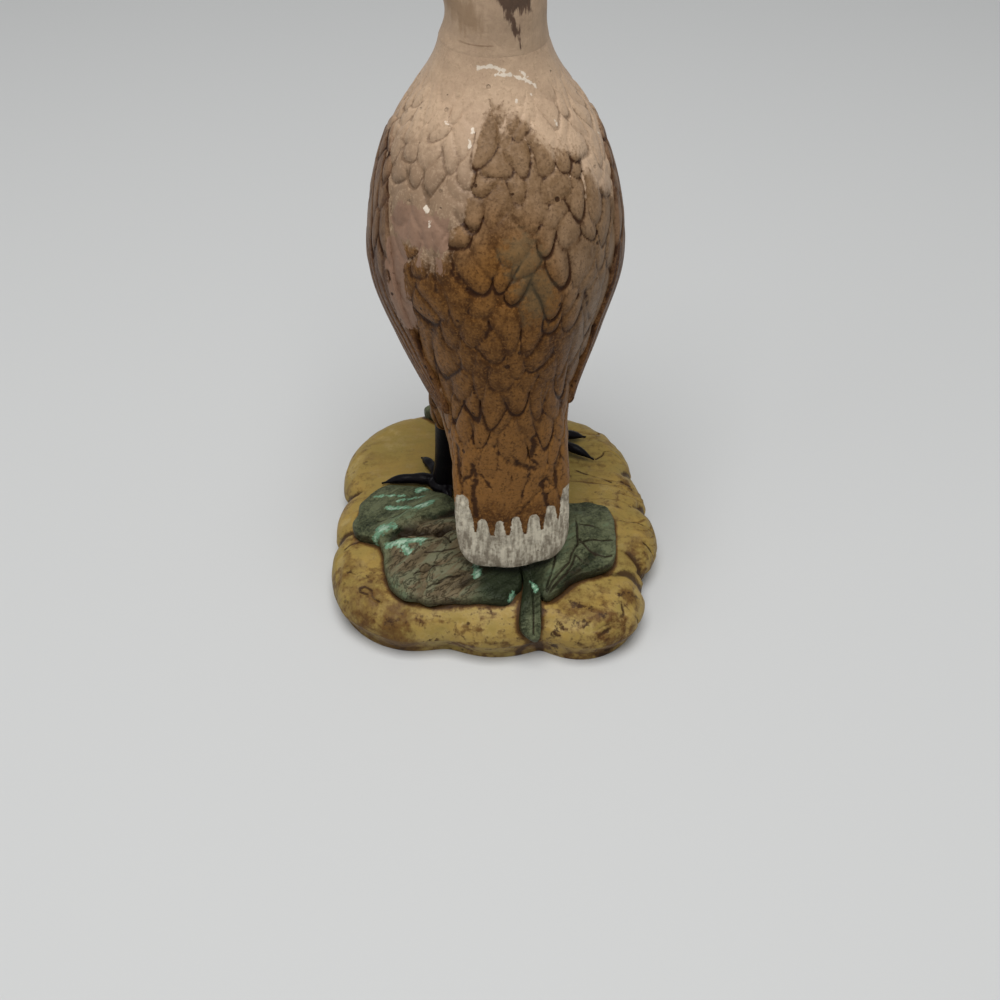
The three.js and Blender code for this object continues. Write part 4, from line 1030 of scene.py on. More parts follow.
def feather_rows(across, row):
    """Overlapping feathers in staggered rows, head end on top. Gives how strongly a point lies on the
    dark edge of a feather, how deep in the valley round it (painted as shade), the place along it, a number
    of its own and how far it swells there."""
    sway = 0.12 * np.sin(2.3 * row + 1.7 * across) + 0.09 * np.sin(0.9 * row - 2.9 * across)
    row = row + 0.22 * np.sin(1.9 * across + 1.3 * row + 2) + 0.14 * np.sin(3.1 * across - 0.7 * row)
    across = across + sway
    bare = np.ones(across.shape, bool)
    line, valley_shade, corner = (np.zeros(across.shape) for _ in range(3))
    found = np.zeros((4, *across.shape))
    for rank in (np.floor(row) + k for k in (-2, -1, 0)):
        best = np.full(across.shape, -9.0)
        spot = np.zeros_like(found)
        meet = np.zeros(across.shape)
        for step in (-1, 0, 1):
            place = across - 0.5 * (rank % 2)
            column = np.round(place) + step
            lot = [chance(column, rank, kind) for kind in range(6)]
            down = (row - rank - 0.5 * (lot[0] - 0.5)) / (FEATHER_REACH * (0.85 + 0.3 * lot[1]))
            side = place - column - 0.28 * (lot[2] - 0.5) - 0.2 * (lot[3] - 0.5) * down
            side = side / (0.47 + 0.11 * lot[1])
            power = 1.9 + 0.5 * lot[4]
            low = np.maximum(down - 0.4, 0) / 0.6
            inside = 1 - (np.abs(side) ** power + low**power) ** (1 / power)
            inside = np.where(down < 0, -9, inside)
            outer, inner = np.exp(np.minimum(inside, 0) / 0.20), np.exp(-np.maximum(inside, 0) / 0.14)

            # The valley's painted shade shows round every feather's lower half, the dark line on some more
            # than others.
            sunk = bare * ease(down, 0.10, 0.50) * outer * inner * (0.65 + 0.35 * lot[5])
            valley_shade = np.maximum(valley_shade, sunk)
            drawn = bare * ease(down, 0.30, 0.70) * (0.35 + 0.65 * ease(lot[5], 0.2, 0.8))
            line = np.maximum(line, drawn * np.exp(-((inside / 0.10) ** 2)))
            meet = meet + (outer - (inside >= 0)) * (down > 0.4)
            better = inside > best
            best = np.where(better, inside, best)
            spot = np.where(better, np.stack([down, side, lot[5], inside]), spot)
        cover = bare & (best > 0)
        corner = np.maximum(corner, np.where(bare & ~cover, ease(meet, 0.9, 1.6), 0))
        found = np.where(cover, spot, found)
        bare &= ~cover
    along, side, own, inside = found
    stem = np.exp(-((side / 0.09) ** 2)) * valley_shade * (own > 0.5)
    edge = np.maximum(line, np.maximum(0.7 * stem, 1.25 * corner))
    return edge, valley_shade, along, own, ease(inside, 0, 0.55)


def feather_finish(name, upper, lower, last=None):
    """Base coat, brown stain that deepens down the bird and in the grooves, painted feather shade and
    highlight, and wear.
    """
    finish, place = new_finish(name)
    cloud = place.noise(0.012, 5)
    blotch = place.noise(0.0042, 5)
    fine = place.noise(0.0012, 4)
    speck = place.noise(0.0006, 2)
    mottle = place.noise(0.0026, 5)
    brush = place.noise(0.0013, 4, (1.0, 1.0, 0.2))
    coat = (cloud * 0.5 + fine * 0.5).step(0.38, 0.60).mix(PINK_COAT, BASE_COAT)
    worn = place.mark("worn") + (blotch - 0.5) * 1.2 + (cloud - 0.5) * 0.8 + (fine - 0.5) * 0.8
    coat = worn.step(0.4, 1.7).mix(coat, WORN_COAT)
    stain = place.mark("stain") + (cloud - 0.5) * 0.8 + (blotch - 0.5) * 0.9 + (fine - 0.5) * 0.7
    stain = stain.step(0.78, 1.28)
    # Each pad is lighter towards its tip and where it swells, a painted highlight; the rump is worn lighter
    # too.
    tone = place.mark("tip") * 0.25 + cloud * 0.3 + blotch * 0.4 + mottle * 0.5 + brush * 0.3
    tone = tone.step(0.68, 1.06)
    low = (place.mark("low") + (cloud - 0.5) * 0.6).step(0, 1)
    colour = stain.mix(coat, low.mix(tone.mix(*upper), tone.mix(*lower)))
    dust = (place.mark("tip") * 0.3 + fine * 0.55 + brush * 0.45 + blotch * 0.3).step(0.72, 0.98)
    dusted = low.mix(STAIN_DUST, LOWER_DUST)
    colour = (dust * stain * (0.60 - 0.25 * low)).mix(colour, dusted)
    grain_dark = (fine * 0.6 + speck * 0.5 + brush * 0.3).step(0.70, 0.88)
    colour = (grain_dark * (0.42 + 0.16 * low)).mix(colour, stain.mix(WORN_COAT, STAIN_DEEP))
    grain_pale = (fine * 0.6 + speck * 0.5).step(0.53, 0.40)
    colour = (grain_pale * (0.33 + 0.22 * low)).mix(colour, stain.mix(BASE_COAT, dusted))
    # Painted shade in the valleys round the feathers.
    painted_valley_shade = place.mark("shade") + (blotch - 0.5) * 0.9 + (mottle - 0.5) * 0.9 + (fine - 0.5) * 0.5
    painted_valley_shade = painted_valley_shade.step(0.22, 0.95) * (0.38 + 0.44 * stain)
    colour = painted_valley_shade.mix(colour, stain.mix(COAT_SHADE, STAIN_SHADE))
    groove = (place.mark("edge") * 1.3 + (fine - 0.5) * 0.9 + (mottle - 0.5) * 1.5).step(0.38, 1.05)
    colour = (groove * (0.40 + 0.50 * stain)).mix(colour, STAIN_DEEP)
    grey = (place.mark("grey") + (mottle - 0.5) * 2.2 + (fine - 0.5) * 0.8).step(0.8, 1.6)
    colour = (grey * 0.45).mix(colour, GREY_WASH)
    bare = (place.mark("bare") + (brush - 0.5) * 1.5 + (blotch - 0.5) * 1.1).step(0.97, 1.07)
    colour = bare.mix(colour, (cloud * 0.6 + fine * 0.4).step(0.38, 0.62).mix(BARE_SHADE, BARE_CLAY))
    # White flecks: chips in the coat, and glints painted in as painted highlights.
    chip = (place.mark("chip") + (fine - 0.5) * 2.6 + (mottle - 0.5) * 1.4).step(0.92, 1.16)
    colour = (chip * 0.9).mix(colour, CHIP_AND_GLINT_WHITE)
    pits = (place.spots(0.0040, "Color") * 0.23 - place.spots(0.0040) + (fine - 0.5) * 0.1).step(0.02, 0.07)
    colour = (pits * (0.25 + 0.6 * stain)).mix(colour, STAIN_DEEP)
    if last:
        colour = last(place, colour)
    height = blotch * 0.35 + fine * 0.45 + brush * 0.4 - pits * 0.5
    surface(place, colour, 0.30 + 0.18 * fine, 0.10, height, 0.00035)
    return finish


bird_ends = skin_ends()
TAIL_JOINT = (len(TAIL_SECTIONS) - 1) / (len(bird_ends[0]) - 1)
back_u = np.linspace(0, 1, 400)
back_line = through(bird_ends[0], back_u)[::-1, 1:]
from_neck = np.concatenate([[0], np.cumsum(np.linalg.norm(np.diff(back_line, axis=0), axis=1))])[::-1]
row_steps = -np.diff(from_neck) / np.interp(from_neck[1:], PITCH_FROM, PITCH)
row_from_neck = np.concatenate([np.cumsum(row_steps[::-1])[::-1], [0]])


def feather_grid(u, turn):
    """Where points of the bird's skin lie on its feathers: column across the back and row from the neck."""
    more = FEATHERS_ROUND_BODY - FEATHERS_ROUND_TAIL
    count = FEATHERS_ROUND_TAIL + more * ease(u, TAIL_JOINT, 2 * TAIL_JOINT)
    return turn / (2 * math.pi) * count, np.interp(u, back_u, row_from_neck)


def feather_marks(line, valley_shade, along, own, swell, clear):
    """Relief of the feathers, and the marks that their stain and their painted shade and highlight follow.
    """
    lift = FEATHER_LIFT * (0.35 * along + 0.65 * swell - 0.5) * (0.6 + 0.4 * own)
    marks = dict(edge=line * clear, shade=valley_shade * clear, tip=(along + swell) / 2 * clear)
    return (lift - FEATHER_GROOVE * line) * clear, marks


def back_strokes(points, turn):
    """Nearness to the strokes drawn on the bird's back by an unsteady brush."""
    stray = [0.0007 * grain(points, 0.0050, k) + 0.0003 * grain(points, 0.0018, k) for k in (67, 68)]
    field = run_field(points[..., ::2] + np.stack(stray, -1), FEATHER_STROKES, 0.0012)
    return ease(field, 0.0, 1.35) * (0.80 + 0.25 * grain(points, 0.0025, 69)) * (np.abs(turn) < 1.5)


def drawn_over(relief, marks, points, turn):
    """Relief and marks with the strokes drawn over the feathers."""
    strokes = back_strokes(points, turn)
    return relief - FEATHER_GROOVE * strokes, dict(marks, edge=np.maximum(marks["edge"], strokes))


def feathers_show(points, turn, parting):
    """How plainly the feathers show: in patches, fainter low down, not along the parting at the front."""
    patchy = 0.6 + 0.4 * ease(grain(points, 0.018, 63), -0.5, 0.3)
    faint = 0.45 + 0.55 * ease(points[..., 2], 0.046, 0.060)
    return patchy * faint * ease(-np.abs(turn), -math.pi, -parting)


def cast_lumps(points):
    """Unevenness that the mould leaves under the paint."""
    return 0.00022 * grain(points, 0.011, 64) + 0.00008 * grain(points, 0.0025, 65)


feather_coat = feather_finish("feather_coat", UPPER_STAIN, LOWER_STAIN)
u = np.linspace(TAIL_JOINT, 1, BODY_ROWS + 1)[:, None] + np.zeros(BODY_COLUMNS + 1)
sweep = np.linspace(-1, 1, BODY_COLUMNS + 1)
turn = math.pi * sweep * (0.55 + 0.45 * sweep**2) + np.zeros_like(u)
body = skin(bird_ends, u, turn)
feathers = feather_rows(*feather_grid(u, turn))
clear = ease(np.interp(u, back_u, from_neck), 0.003, 0.018) * feathers_show(body, turn, BREAST_PARTING)
relief, marks = feather_marks(*feathers, clear)
marks["tip"] = marks["tip"] + RUMP_WEAR * ease(-body[..., 2], -0.078, -0.056)
relief, marks = drawn_over(relief, marks, body, turn)
body_standing = on_rock(body)
vent = np.hypot(body[..., 0], body[..., 1] - VENT_Y)
under = (body[..., 2] < BELLY_Z + 0.02) & (np.abs(turn) > 2)
vent = np.where(under, ease(-vent, -VENT_RADIUS - 0.0003, -VENT_RADIUS + 0.0006), 0)
relief = relief + cast_lumps(body_standing) * ease(1 - u, 0, 0.02) - VENT_DEPTH * vent
relief = relief + NECK_FILLET * np.clip((u - FILLET_START) / (1 - FILLET_START), 0, 1) ** 2
from_back = np.degrees(turn)
stain_edge = np.interp(from_back, STAIN_EDGE_TURN, STAIN_EDGE_Z)
# Stain deepens below this line; set low on the right flank, it paints that side lighter as painted light.
deep_stain_and_light_edge = np.interp(from_back, DEEP_STAIN_AND_LIGHT_TURN, DEEP_STAIN_AND_LIGHT_Z)
stain = 1 + (stain_edge - body[..., 2]) / 0.008 + 1.1 * (feathers[3] - 0.5) * clear
left_worn = ease(-from_back, -10, 14) * ease(from_back, -165, -100) * ease(0.150 - body[..., 2], 0, 0.028)
body_cast = wrapped(
    "body_cast", capped(raised(body_standing, relief)), feather_coat,
    **capped_marks(
        **marks, stain=np.clip(stain, 0, 2), worn=left_worn * 2,
        low=ease(deep_stain_and_light_edge - body[..., 2], -0.018, 0.012),
        bare=run_field(body_standing, BARE_RUNS, 0.0035), chip=run_field(body_standing, CHIP_AND_GLINT_RUNS, 0.0009),
        grey=run_field(body_standing, GREY_RUNS, 0.006),
    ),
)
settle(body_cast, "feather_brown", "body_shell")


# Tail: a flat fan of feathers in one casting, set on the body with a tenon. It carries the same brown
# stain, and its end is brushed white with a loaded brush that left a row of round-topped strokes.
TAIL_ROWS = 190
TAIL_COLUMNS = 300
TAIL_OVERLAP = 0.010
TAIL_LAP = 0.0006
TIP_WHITE = (0.640, 0.580, 0.455, 1)
TIP_GREY = (0.225, 0.190, 0.140, 1)
# White strokes: middle across the tail, top, and half width.
TIP_STROKES = [
    (-0.0136, 0.0478, 0.0015), (-0.0086, 0.0407, 0.0012), (-0.0040, 0.0400, 0.0010),
    (0.0004, 0.0409, 0.0012), (0.0053, 0.0408, 0.0014), (0.0100, 0.0426, 0.0013), (0.0145, 0.0472, 0.0012),
]
TIP_LEVEL = 0.0348
TIP_RISE = 0.0050
TIP_SOFT = 0.0013
TAIL_PARTING = 2.7


def white_tip(place, colour):
    """The white end over the stain: thick in places, thin and dirty in others, with dark specks."""
    blotch = place.noise(0.0035, 5)
    fine = place.noise(0.0009, 4)
    brush = place.noise(0.0013, 4, (1.0, 1.0, 0.2))
    white = (place.mark("white") + (fine - 0.5) * 0.8 + (brush - 0.5) * 0.8).step(0.92, 1.08)
    dirt = (place.mark("white") * 0.012 + blotch * 0.35 + brush * 0.80 + fine * 0.35).step(0.64, 0.94)
    paint = dirt.mix(TIP_WHITE, TIP_GREY)
    specks = (place.spots(0.0032, "Color") * 0.2 - place.spots(0.0032)).step(0.02, 0.07)
    paint = (specks * 0.8).mix(paint, STAIN_DEEP)
    return (white * 0.97).mix(colour, paint)


u = np.linspace(0, TAIL_JOINT + TAIL_OVERLAP, TAIL_ROWS + 1)[:, None] + np.zeros(TAIL_COLUMNS + 1)
sweep = np.linspace(-1, 1, TAIL_COLUMNS + 1)
turn = math.pi * sweep * (0.7 + 0.3 * sweep**2) + np.zeros_like(u)
tail = skin(bird_ends, u, turn)
feathers = feather_rows(*feather_grid(u, turn))
end = ease(-tail[..., 2], -0.038, -0.028)
relief, marks = feather_marks(*feathers, (1 - end) * feathers_show(tail, turn, TAIL_PARTING))
marks["tip"] = marks["tip"] + RUMP_WEAR * ease(u, 0.28, TAIL_JOINT)
relief, marks = drawn_over(relief, marks, tail, turn)
tail_standing = on_rock(tail)
relief = relief + cast_lumps(tail_standing) * ease(u, 0.0, 0.03)
relief = relief - TAIL_LAP * ease(u, TAIL_JOINT, TAIL_JOINT + 0.003)
brushed = []
for x, top, half in TIP_STROKES:
    above = tail[..., 2] - top + half
    width = half + 0.14 * np.maximum(-above, 0)
    brushed.append(1 + (width - np.hypot(tail[..., 0] - x, np.maximum(above, 0))) / TIP_SOFT)
level = TIP_LEVEL + TIP_RISE * (np.abs(tail[..., 0]) / (TAIL_WIDTH / 2)) ** 3
white = np.maximum(np.max(brushed, axis=0), 1 + (level - tail[..., 2]) / TIP_SOFT)
tail_coat = feather_finish("tail_coat", UPPER_STAIN, LOWER_STAIN, white_tip)
tail_marks = dict(marks, white=np.clip(white, 0, 8), low=np.ones(u.shape), stain=np.full(u.shape, 2.0))
tail_points = capped(raised(tail_standing, relief))
tail_cast = wrapped("tail_cast", tail_points, tail_coat, **capped_marks(**tail_marks))
settle(tail_cast, "tail_brown", "tail")


# Wings: thin pads luted along the flanks, short coverts at the shoulder and long quills that run down
# to a point over the rump. They are stained a little redder than the back, with pale rubbed edges.
WING_THICKNESS = 0.002
WING_EDGE = 0.0009
WING_SINK = 0.0012
WING_COLUMNS = 300
WING_TOP_ROWS = 90
WING_UPPER = ((0.074, 0.036, 0.020, 1), (0.148, 0.082, 0.049, 1))
WING_LOWER = ((0.130, 0.055, 0.018, 1), (0.215, 0.105, 0.040, 1))
WING_START = 0.78
WING_LENGTH = 0.56
WING_ROWS = 9
QUILLS = 9
QUILL_GROOVE = 0.0004
# Right wing's outline: place from tail joint to neck, and degrees round from the back.
WING_OUTLINE = [
    (0.78, 94), (0.72, 72), (0.56, 62), (0.40, 60), (0.22, 63), (0.29, 86), (0.42, 106), (0.62, 120),
]


def wing(name, sign, finish):
    """A pad on one flank; sign is -1 for the left and 1 for the right."""
    rim = through(np.array(WING_OUTLINE) / (1, 90), np.linspace(0, 1, WING_COLUMNS + 1), closed=True)
    middle = rim[:-1].mean(0)
    share, lift = pad_rows(0.97, 7, 0.955, WING_TOP_ROWS)
    plan = middle + share[..., None] * (rim - middle)
    u = TAIL_JOINT + (1 - TAIL_JOINT) * plan[..., 0]
    turn = sign * plan[..., 1] * math.pi / 2
    flat = skin(bird_ends, u, turn)
    down = (WING_START - plan[..., 0]) / WING_LENGTH

    # Quills fan between the back edge, turn by turn, and the front edge.
    back = np.interp(plan[..., 0], *np.array(WING_OUTLINE[4:0:-1] + WING_OUTLINE[:1]).T)
    front = np.interp(plan[..., 0], *np.array(WING_OUTLINE[4:] + WING_OUTLINE[:1]).T)
    place = QUILLS * (plan[..., 1] * 90 - back) / np.maximum(front - back, 6) + 0.3 * grain(flat, 0.02, 81)
    quill = np.exp(-(((place - np.round(place)) / 0.14) ** 2))
    quill = quill * (0.5 + 0.5 * ease(grain(flat, 0.006, 82), -0.4, 0.3))
    long = ease(down + 0.05 * np.sin(place * 5), 0.40, 0.48)
    feathers = feather_rows(plan[..., 1] * 8.5 + 40, WING_ROWS * down + 20)
    relief, marks = feather_marks(*feathers, 1 - long)
    relief = relief - QUILL_GROOVE * quill * long
    thin = 0.15 + 0.85 * ease(down, 0.05, 0.55)
    grow = LUTE + thin * (WING_THICKNESS + (WING_EDGE - WING_THICKNESS) * share**2) + relief * (lift > 0.5)
    grow = -WING_SINK + lift * (WING_SINK + grow)
    rubbed = 0.45 * ease(share, 0.95, 1.0) * ease(down, 0.6, 0.9) * ease(grain(flat, 0.004, 84), -0.3, 0.3)
    stain_edge = 0.132 + 0.004 * grain(flat, 0.012, 83)
    return wrapped(
        name, on_rock(skin(bird_ends, u, turn, grow)), finish,
        edge=np.maximum(marks["edge"], quill * long * 0.8), shade=marks["shade"], tip=marks["tip"],
        stain=np.clip(1 + (stain_edge - flat[..., 2]) / 0.010, 0, 2) * (1 - rubbed),
        low=ease(0.126 - flat[..., 2], 0, 0.05), worn=np.full(u.shape, 1.4),
        bare=run_field(on_rock(flat), BARE_RUNS[:1], 0.0035),
    )


wing_coat = feather_finish("wing_coat", WING_UPPER, WING_LOWER)
for side, sign in (("left", -1), ("right", 1)):
    settle(wing("wing_" + side + "_cast", sign, wing_coat), "feather_brown", "wing_" + side)


# Thighs: short cones of clay under the belly that the legs are set into, with loose downy feathers.
# They take the back's brown stain.
THIGH_END_Z = 0.043
THIGH_RISE = 0.024
THIGH_TOP_RADIUS = 0.007
THIGH_END_RADIUS = 0.0044
THIGH_LEAN = 0.6
THIGH_BACK_Y = 0.011
for side, (foot, toes) in FEET.items():
    share = np.linspace(0, 1, 90)
    end_x = foot[0] * LEG_LEAN
    line = np.stack([
        end_x * (1 + (THIGH_LEAN - 1) * share**2),
        foot[1] + ((foot[1] + THIGH_BACK_Y) / 2 - foot[1]) * share**2,
        THIGH_END_Z + share * THIGH_RISE,
    ], -1)
    swell = np.sin(share * math.pi / 2)
    radius = THIGH_END_RADIUS + (THIGH_TOP_RADIUS - THIGH_END_RADIUS) * swell
    radius = radius - 0.0009 * np.exp(-share / 0.05)
    points = tube(line, radius, 120)
    turn = np.linspace(0, 1, 121) + np.zeros(points.shape[:2])
    climb = np.concatenate([[0], share, [1]])[:, None] + np.zeros(points.shape[:2])
    tufts = ease(climb, 0, 0.02) * ease(-climb, -1, -0.98) * ease(-np.abs(turn - 0.5), -0.5, -0.42)
    feathers = feather_rows(turn * 8, (1 - climb) * 5 + 6)
    relief, marks = feather_marks(*feathers, tufts)
    thigh = wrapped(
        "thigh_" + side + "_cast", raised(points, relief), feather_coat, **marks,
        stain=np.full(points.shape[:2], 1.8), low=np.ones(points.shape[:2]),
    )
    settle(thigh, "feather_brown", "thigh_" + side)


# Head: a hollow casting with a spigot that drops into the neck, turned a little to the left. The base
# coat is left bare on the neck, with a dark cap that runs down the nape and pale stripes on the face.
HEAD_TURN = math.radians(20)
HEAD_HEIGHT = 0.0435
HEAD_WIDTH = 0.0275
HEAD_LENGTH = 0.031
NECK_TOP = np.array([0, NECK_Y, BELLY_Z + BODY_HEIGHT + LUTE])
NECK_LAP = 0.0010
HEAD_FILLET_END = 0.102
HEAD_ROWS = 170
HEAD_COLUMNS = 240
CAP_BROWN = (0.085, 0.040, 0.026, 1)
CAP_DARK = (0.030, 0.014, 0.011, 1)
FACE_CREAM = (0.600, 0.480, 0.340, 1)
THROAT_ROUND = 0.9
EYE_PLACE = 0.6
EYE_TURN = math.radians(112)
EYE_RADIUS = 0.0027
EYE_SINK = 0.45
# Sections: share of the width, then back and front ends as shares of length and height.
HEAD_SECTIONS = [
    (NECK_DIAMETER / HEAD_WIDTH, -NECK_DIAMETER / 2 / HEAD_LENGTH, 0, NECK_DIAMETER / 2 / HEAD_LENGTH, 0),
    (0.81, -0.39, 0.18, 0.32, 0.14), (0.88, -0.37, 0.36, 0.45, 0.28), (0.99, -0.41, 0.54, 0.58, 0.42),
    (1.00, -0.37, 0.73, 0.61, 0.59), (0.86, -0.23, 0.89, 0.56, 0.77), (0.56, -0.02, 0.975, 0.43, 0.91),
    (0.20, 0.14, 1.00, 0.28, 0.98),
]
# Nape streak and smears in the head's own frame, before it is turned: runs with a half width.
NAPE_RUNS = [
    ((-0.0010, -0.0066, 0.1800), (-0.0010, -0.0059, 0.1660), 0.0042),
    ((-0.0033, -0.0055, 0.1650), (-0.0020, -0.0057, 0.1605), 0.0008),
    ((-0.0020, -0.0058, 0.1610), (-0.0006, -0.0059, 0.1579), 0.0007),
    ((-0.0006, -0.0059, 0.1579), (0.0002, -0.0058, 0.1547), 0.0004),
    ((0.0018, -0.0056, 0.1650), (0.0024, -0.0055, 0.1618), 0.0006),
]
NECK_SMEARS = [((-0.0112, 0.0045, 0.1640), (-0.0093, -0.0010, 0.1605), 0.0035)]


def on_neck(points):
    """Points of the head's own frame, turned on the neck, as they stand on the rock."""
    c, s = math.cos(HEAD_TURN), math.sin(HEAD_TURN)
    return on_rock(points @ np.array([[c, s, 0], [-s, c, 0], [0, 0, 1]]) + NECK_TOP)


def head_finish():
    finish, place = new_finish("head_coat")
    cloud = place.noise(0.009, 5)
    blotch = place.noise(0.0036, 5)
    fine = place.noise(0.0010, 4)
    brush = place.noise(0.0011, 4, (1.0, 1.0, 0.2))
    coat = (cloud * 0.6 + fine * 0.4).step(0.35, 0.65).mix(PINK_COAT, BASE_COAT)
    smear = (blotch * 0.6 + brush * 0.3 + fine * 0.4).step(0.60, 0.82) * 0.20
    rubbed_on = (place.mark("smear") + (brush - 0.5) * 2 + (blotch - 0.5)).step(0.7, 1.6) * 0.6
    colour = smear.most(rubbed_on).mix(coat, UPPER_STAIN[1])
    cream = (place.mark("cream") + (brush - 0.5) * 0.9 + (fine - 0.5) * 0.3).step(0.92, 1.1)
    cap = (place.mark("cap") + (brush - 0.5) * 3.2 + (blotch - 0.5) * 0.8).step(0.85, 1.4)
    colour = (cap * 0.85).mix(colour, (blotch * 0.6 + brush * 0.5).step(0.4, 0.75).mix(CAP_DARK, CAP_BROWN))
    colour = (cream * 0.9).mix(colour, FACE_CREAM)
    seam = (place.mark("seam") + (blotch - 0.5) * 0.6).step(0.55, 0.95)
    colour = (seam * 0.5).mix(colour, UPPER_STAIN[0])
    surface(place, colour, 0.46 + 0.12 * fine, 0.14, blotch * 0.4 + fine * 0.4 + brush * 0.4, 0.00035)
    return finish


head_ends = [[], []]
for width, back_y, back_z, front_y, front_z in HEAD_SECTIONS:
    head_ends[0].append((width * HEAD_WIDTH / 2, back_y * HEAD_LENGTH, back_z * HEAD_HEIGHT))
    head_ends[1].append((width * HEAD_WIDTH / 2, front_y * HEAD_LENGTH, front_z * HEAD_HEIGHT))
u = np.linspace(0, 1, HEAD_ROWS + 1)[:, None] + np.zeros(HEAD_COLUMNS + 1)
turn = np.linspace(-math.pi, math.pi, HEAD_COLUMNS + 1) + np.zeros_like(u)
head = skin(head_ends, u, turn)
eye_spots = [skin(head_ends, np.array(EYE_PLACE), np.array(s * EYE_TURN)) for s in (-1, 1)]
eye_near = np.min([np.linalg.norm(head - spot, axis=-1) for spot in eye_spots], axis=0)
lid = np.exp(-((eye_near - EYE_RADIUS * 1.12) / 0.0006) ** 2)
down = np.sin(turn * 30 + 3 * grain(head, 0.006, 91)) * 0.00005
relief = 0.00018 * grain(head, 0.008, 92) + 0.00007 * grain(head, 0.0022, 93) + down * ease(u, 0.15, 0.4)
relief = (relief + 0.0006 * lid) * ease(u, 0, 0.05)
relief = relief + NECK_FILLET * np.clip(1 - u / HEAD_FILLET_END, 0, 1) ** 2
from_back = np.abs(turn) / math.pi
crown_line = 0.70 + 0.16 * ease(from_back, 0.45, 0.9) - 0.22 * (1 - ease(from_back, 0.05, 0.32))
cap_field = 1 + (u - crown_line) / 0.05
throat_high, throat_wide = (0.46 - np.abs(u - 0.30) * 2.2) / 0.2, (from_back - 0.74) / 0.06
throat = np.exp(-THROAT_ROUND * throat_high) + np.exp(-THROAT_ROUND * throat_wide)
throat = 1 - np.log(throat) / THROAT_ROUND
cap_field = np.maximum(cap_field, np.minimum(throat, 2))
brow = 1 + (0.020 - np.abs(u - crown_line + 0.045)) / 0.014
brow = np.where(from_back > 0.22, brow, 0)
collar = 1 + (0.013 - np.abs(throat - 0.35) * 0.03) / 0.01
collar = np.where((from_back > 0.5) & (u < 0.62), collar, 0) * ease(u, 0.09, 0.22)
seam = np.exp(-((u - 0.045 - 0.02 * grain(head, 0.008, 94)) / 0.006) ** 2)
head_marks = dict(
    cap=np.clip(np.maximum(cap_field, run_field(head + NECK_TOP, NAPE_RUNS, 0.0016)), 0, 2),
    cream=np.clip(np.maximum(brow, collar), 0, 2), seam=seam * ease(-np.abs(turn + 0.85), -0.5, -0.3),
    smear=run_field(head + NECK_TOP, NECK_SMEARS, 0.004),
)
head[0] -= (0, 0, NECK_LAP)
head_cast = wrapped(
    "head_cast", capped(raised(on_neck(head), relief)), head_finish(),
    **capped_marks(**head_marks),
)
settle(head_cast, "head_tan", "head_shell")


# Eyes: small domes of clay pressed into the head, each inside a raised lid that the head is cast with.
# They are painted black and varnished.
EYE_BLACK = (0.004, 0.003, 0.003, 1)
EYE_BROWN = (0.030, 0.014, 0.007, 1)


def eye_finish():
    finish, place = new_finish("eye_varnish")
    cloud = place.noise(0.0016, 3)
    surface(place, cloud.step(0.45, 0.7).mix(EYE_BLACK, EYE_BROWN), 0.06 + 0.06 * cloud, 0.5)
    return finish


eye_varnish = eye_finish()
for side, sign, spot in (("left", -1, eye_spots[0]), ("right", 1, eye_spots[1])):
    rise, around = np.meshgrid(np.linspace(-1, 1, 41), np.linspace(-math.pi, math.pi, 57), indexing="ij")
    outward = skin(head_ends, np.array(EYE_PLACE), np.array(sign * EYE_TURN), 0.001) - spot
    outward = outward / np.linalg.norm(outward)
    right = np.cross(outward, [0, 0, 1])
    right = right / np.linalg.norm(right)
    upright = np.cross(right, outward)
    tilt = rise * math.pi / 2
    bulge = np.sin(tilt)[..., None] * outward * 0.92
    ring = np.cos(around)[..., None] * right + np.sin(around)[..., None] * upright
    bulge = bulge + np.cos(tilt)[..., None] * ring
    dome = spot - outward * EYE_RADIUS * EYE_SINK + EYE_RADIUS * bulge
    settle(wrapped("eye_" + side + "_dome", on_neck(dome), eye_varnish), "eye_black", "eye_" + side)


# Beak: two short halves luted into the face, the upper one hooked over the lower. They and the topknot,
# a forward-falling plume on the crown, are painted brown-black.
BEAK_LENGTH = 0.011
BEAK_WIDTH = 0.0086
BEAK_HEIGHT = 0.008
BEAK_HOOK = 0.003
BEAK_PLACE = 0.5
UPPER_SHARE = 0.62
LOWER_LENGTH = 0.82
BEAK_HALVES = [("upper", 1, 1.0, UPPER_SHARE), ("lower", -1, LOWER_LENGTH, 1 - UPPER_SHARE)]
BEAK_STEPS = [(-0.5, 1.0), (0.1, 0.92), (0.55, 0.6), (0.85, 0.32), (1.0, 0.12)]
TOPKNOT_HEIGHT = 0.012
TOPKNOT_REACH = 0.011
TOPKNOT_DIAMETER = 0.006
TOPKNOT_PLACE = 0.94
TOPKNOT_STEPS = [
    (-0.15, 0.0, 0.62), (0.30, -0.05, 0.55), (0.68, 0.10, 0.72),
    (0.95, 0.45, 1.0), (0.92, 0.80, 0.9), (0.78, 1.0, 0.3),
]
HORN_BLACK = (0.020, 0.014, 0.011, 1)
HORN_BROWN = (0.070, 0.046, 0.032, 1)


def horn_finish():
    finish, place = new_finish("horn_paint")
    cloud = place.noise(0.003, 4)
    fine = place.noise(0.0007, 3)
    brush = place.noise(0.0009, 3, (1.0, 0.25, 0.5))
    colour = (cloud * 0.5 + brush * 0.5 + fine * 0.3).step(0.55, 0.85).mix(HORN_BLACK, HORN_BROWN)
    surface(place, colour, 0.34 + 0.15 * fine, 0.4, brush * 0.6 + fine * 0.4, 0.0003)
    return finish


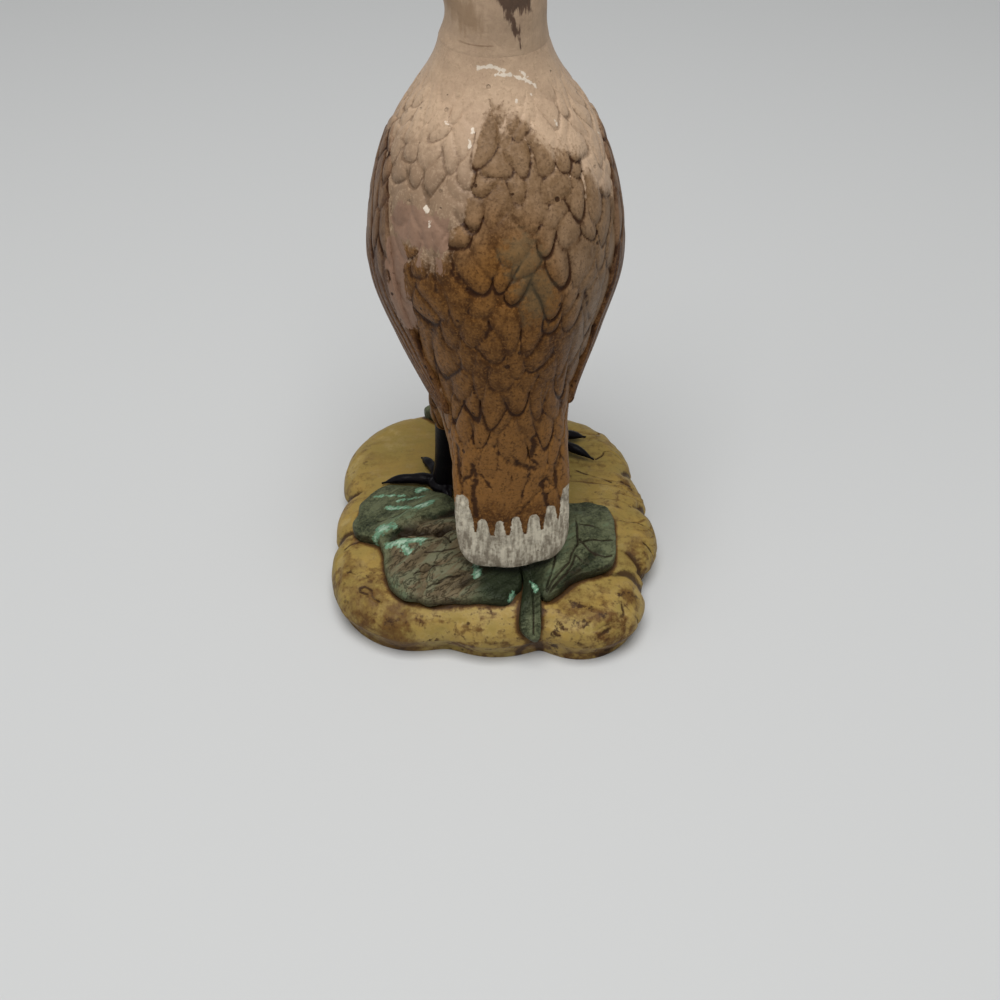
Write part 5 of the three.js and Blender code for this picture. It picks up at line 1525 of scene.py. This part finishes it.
horn_paint = horn_finish()
beak_root = skin(head_ends, np.array(BEAK_PLACE), np.array(math.pi))
share = np.linspace(0, 1, 70)
steps = through(BEAK_STEPS, share)
around = np.linspace(0, 2 * math.pi, 81)
for half, up, length, tall in BEAK_HALVES:
    reach = steps[:, 0] * BEAK_LENGTH * length
    gape = beak_root[2] - BEAK_HOOK * np.maximum(reach / BEAK_LENGTH, 0) ** 3 + up * LUTE / 2
    size = steps[:, 1:]
    high = np.maximum(np.sin(around) * up, 0) * up
    aside = (np.abs(np.cos(around)) - 0.62) / 0.14
    nostril = np.exp(-((reach[:, None] - 0.003) / 0.001) ** 2 - aside**2)
    ridge = 1 + 0.12 * np.maximum(np.sin(around) * up, 0) ** 6 - (0.16 * nostril if up > 0 else 0)
    points = np.stack([
        -np.cos(around) * size * BEAK_WIDTH / 2 * ridge,
        beak_root[1] + reach[:, None] + 0 * around,
        gape[:, None] + high * size * tall * BEAK_HEIGHT * ridge,
    ], -1)
    beak = wrapped("beak_" + half + "_cast", on_neck(capped(points)), horn_paint)
    settle(beak, "beak_black", "beak_" + half)

knot_root = skin(head_ends, np.array(TOPKNOT_PLACE), np.array(math.pi / 2)) * (0, 1, 1)
share = np.linspace(0, 1, 110)
knot = through([
    (0, knot_root[1] + reach * TOPKNOT_REACH, knot_root[2] + rise * TOPKNOT_HEIGHT)
    for rise, reach, size in TOPKNOT_STEPS
], share)

# Radii in centimetres, which keeps the smooth line through them even.
girth = through([(k, 50 * size * TOPKNOT_DIAMETER) for k, (_, _, size) in enumerate(TOPKNOT_STEPS)], share)
points = tube(knot, girth[:, 1] / 100, 96)
turn = np.linspace(0, 2 * math.pi, 97) + np.zeros(points.shape[:2])
barbs = np.abs(np.sin(turn * 7 + 1.5 * grain(points, 0.004, 95)))
shape = ease(np.linspace(0, 1, len(points)), 0.0, 0.1)[:, None]
plume = wrapped("topknot_cast", on_neck(raised(points, -0.0003 * (1 - barbs) ** 2 * shape)), horn_paint)
settle(plume, "beak_black", "topknot")
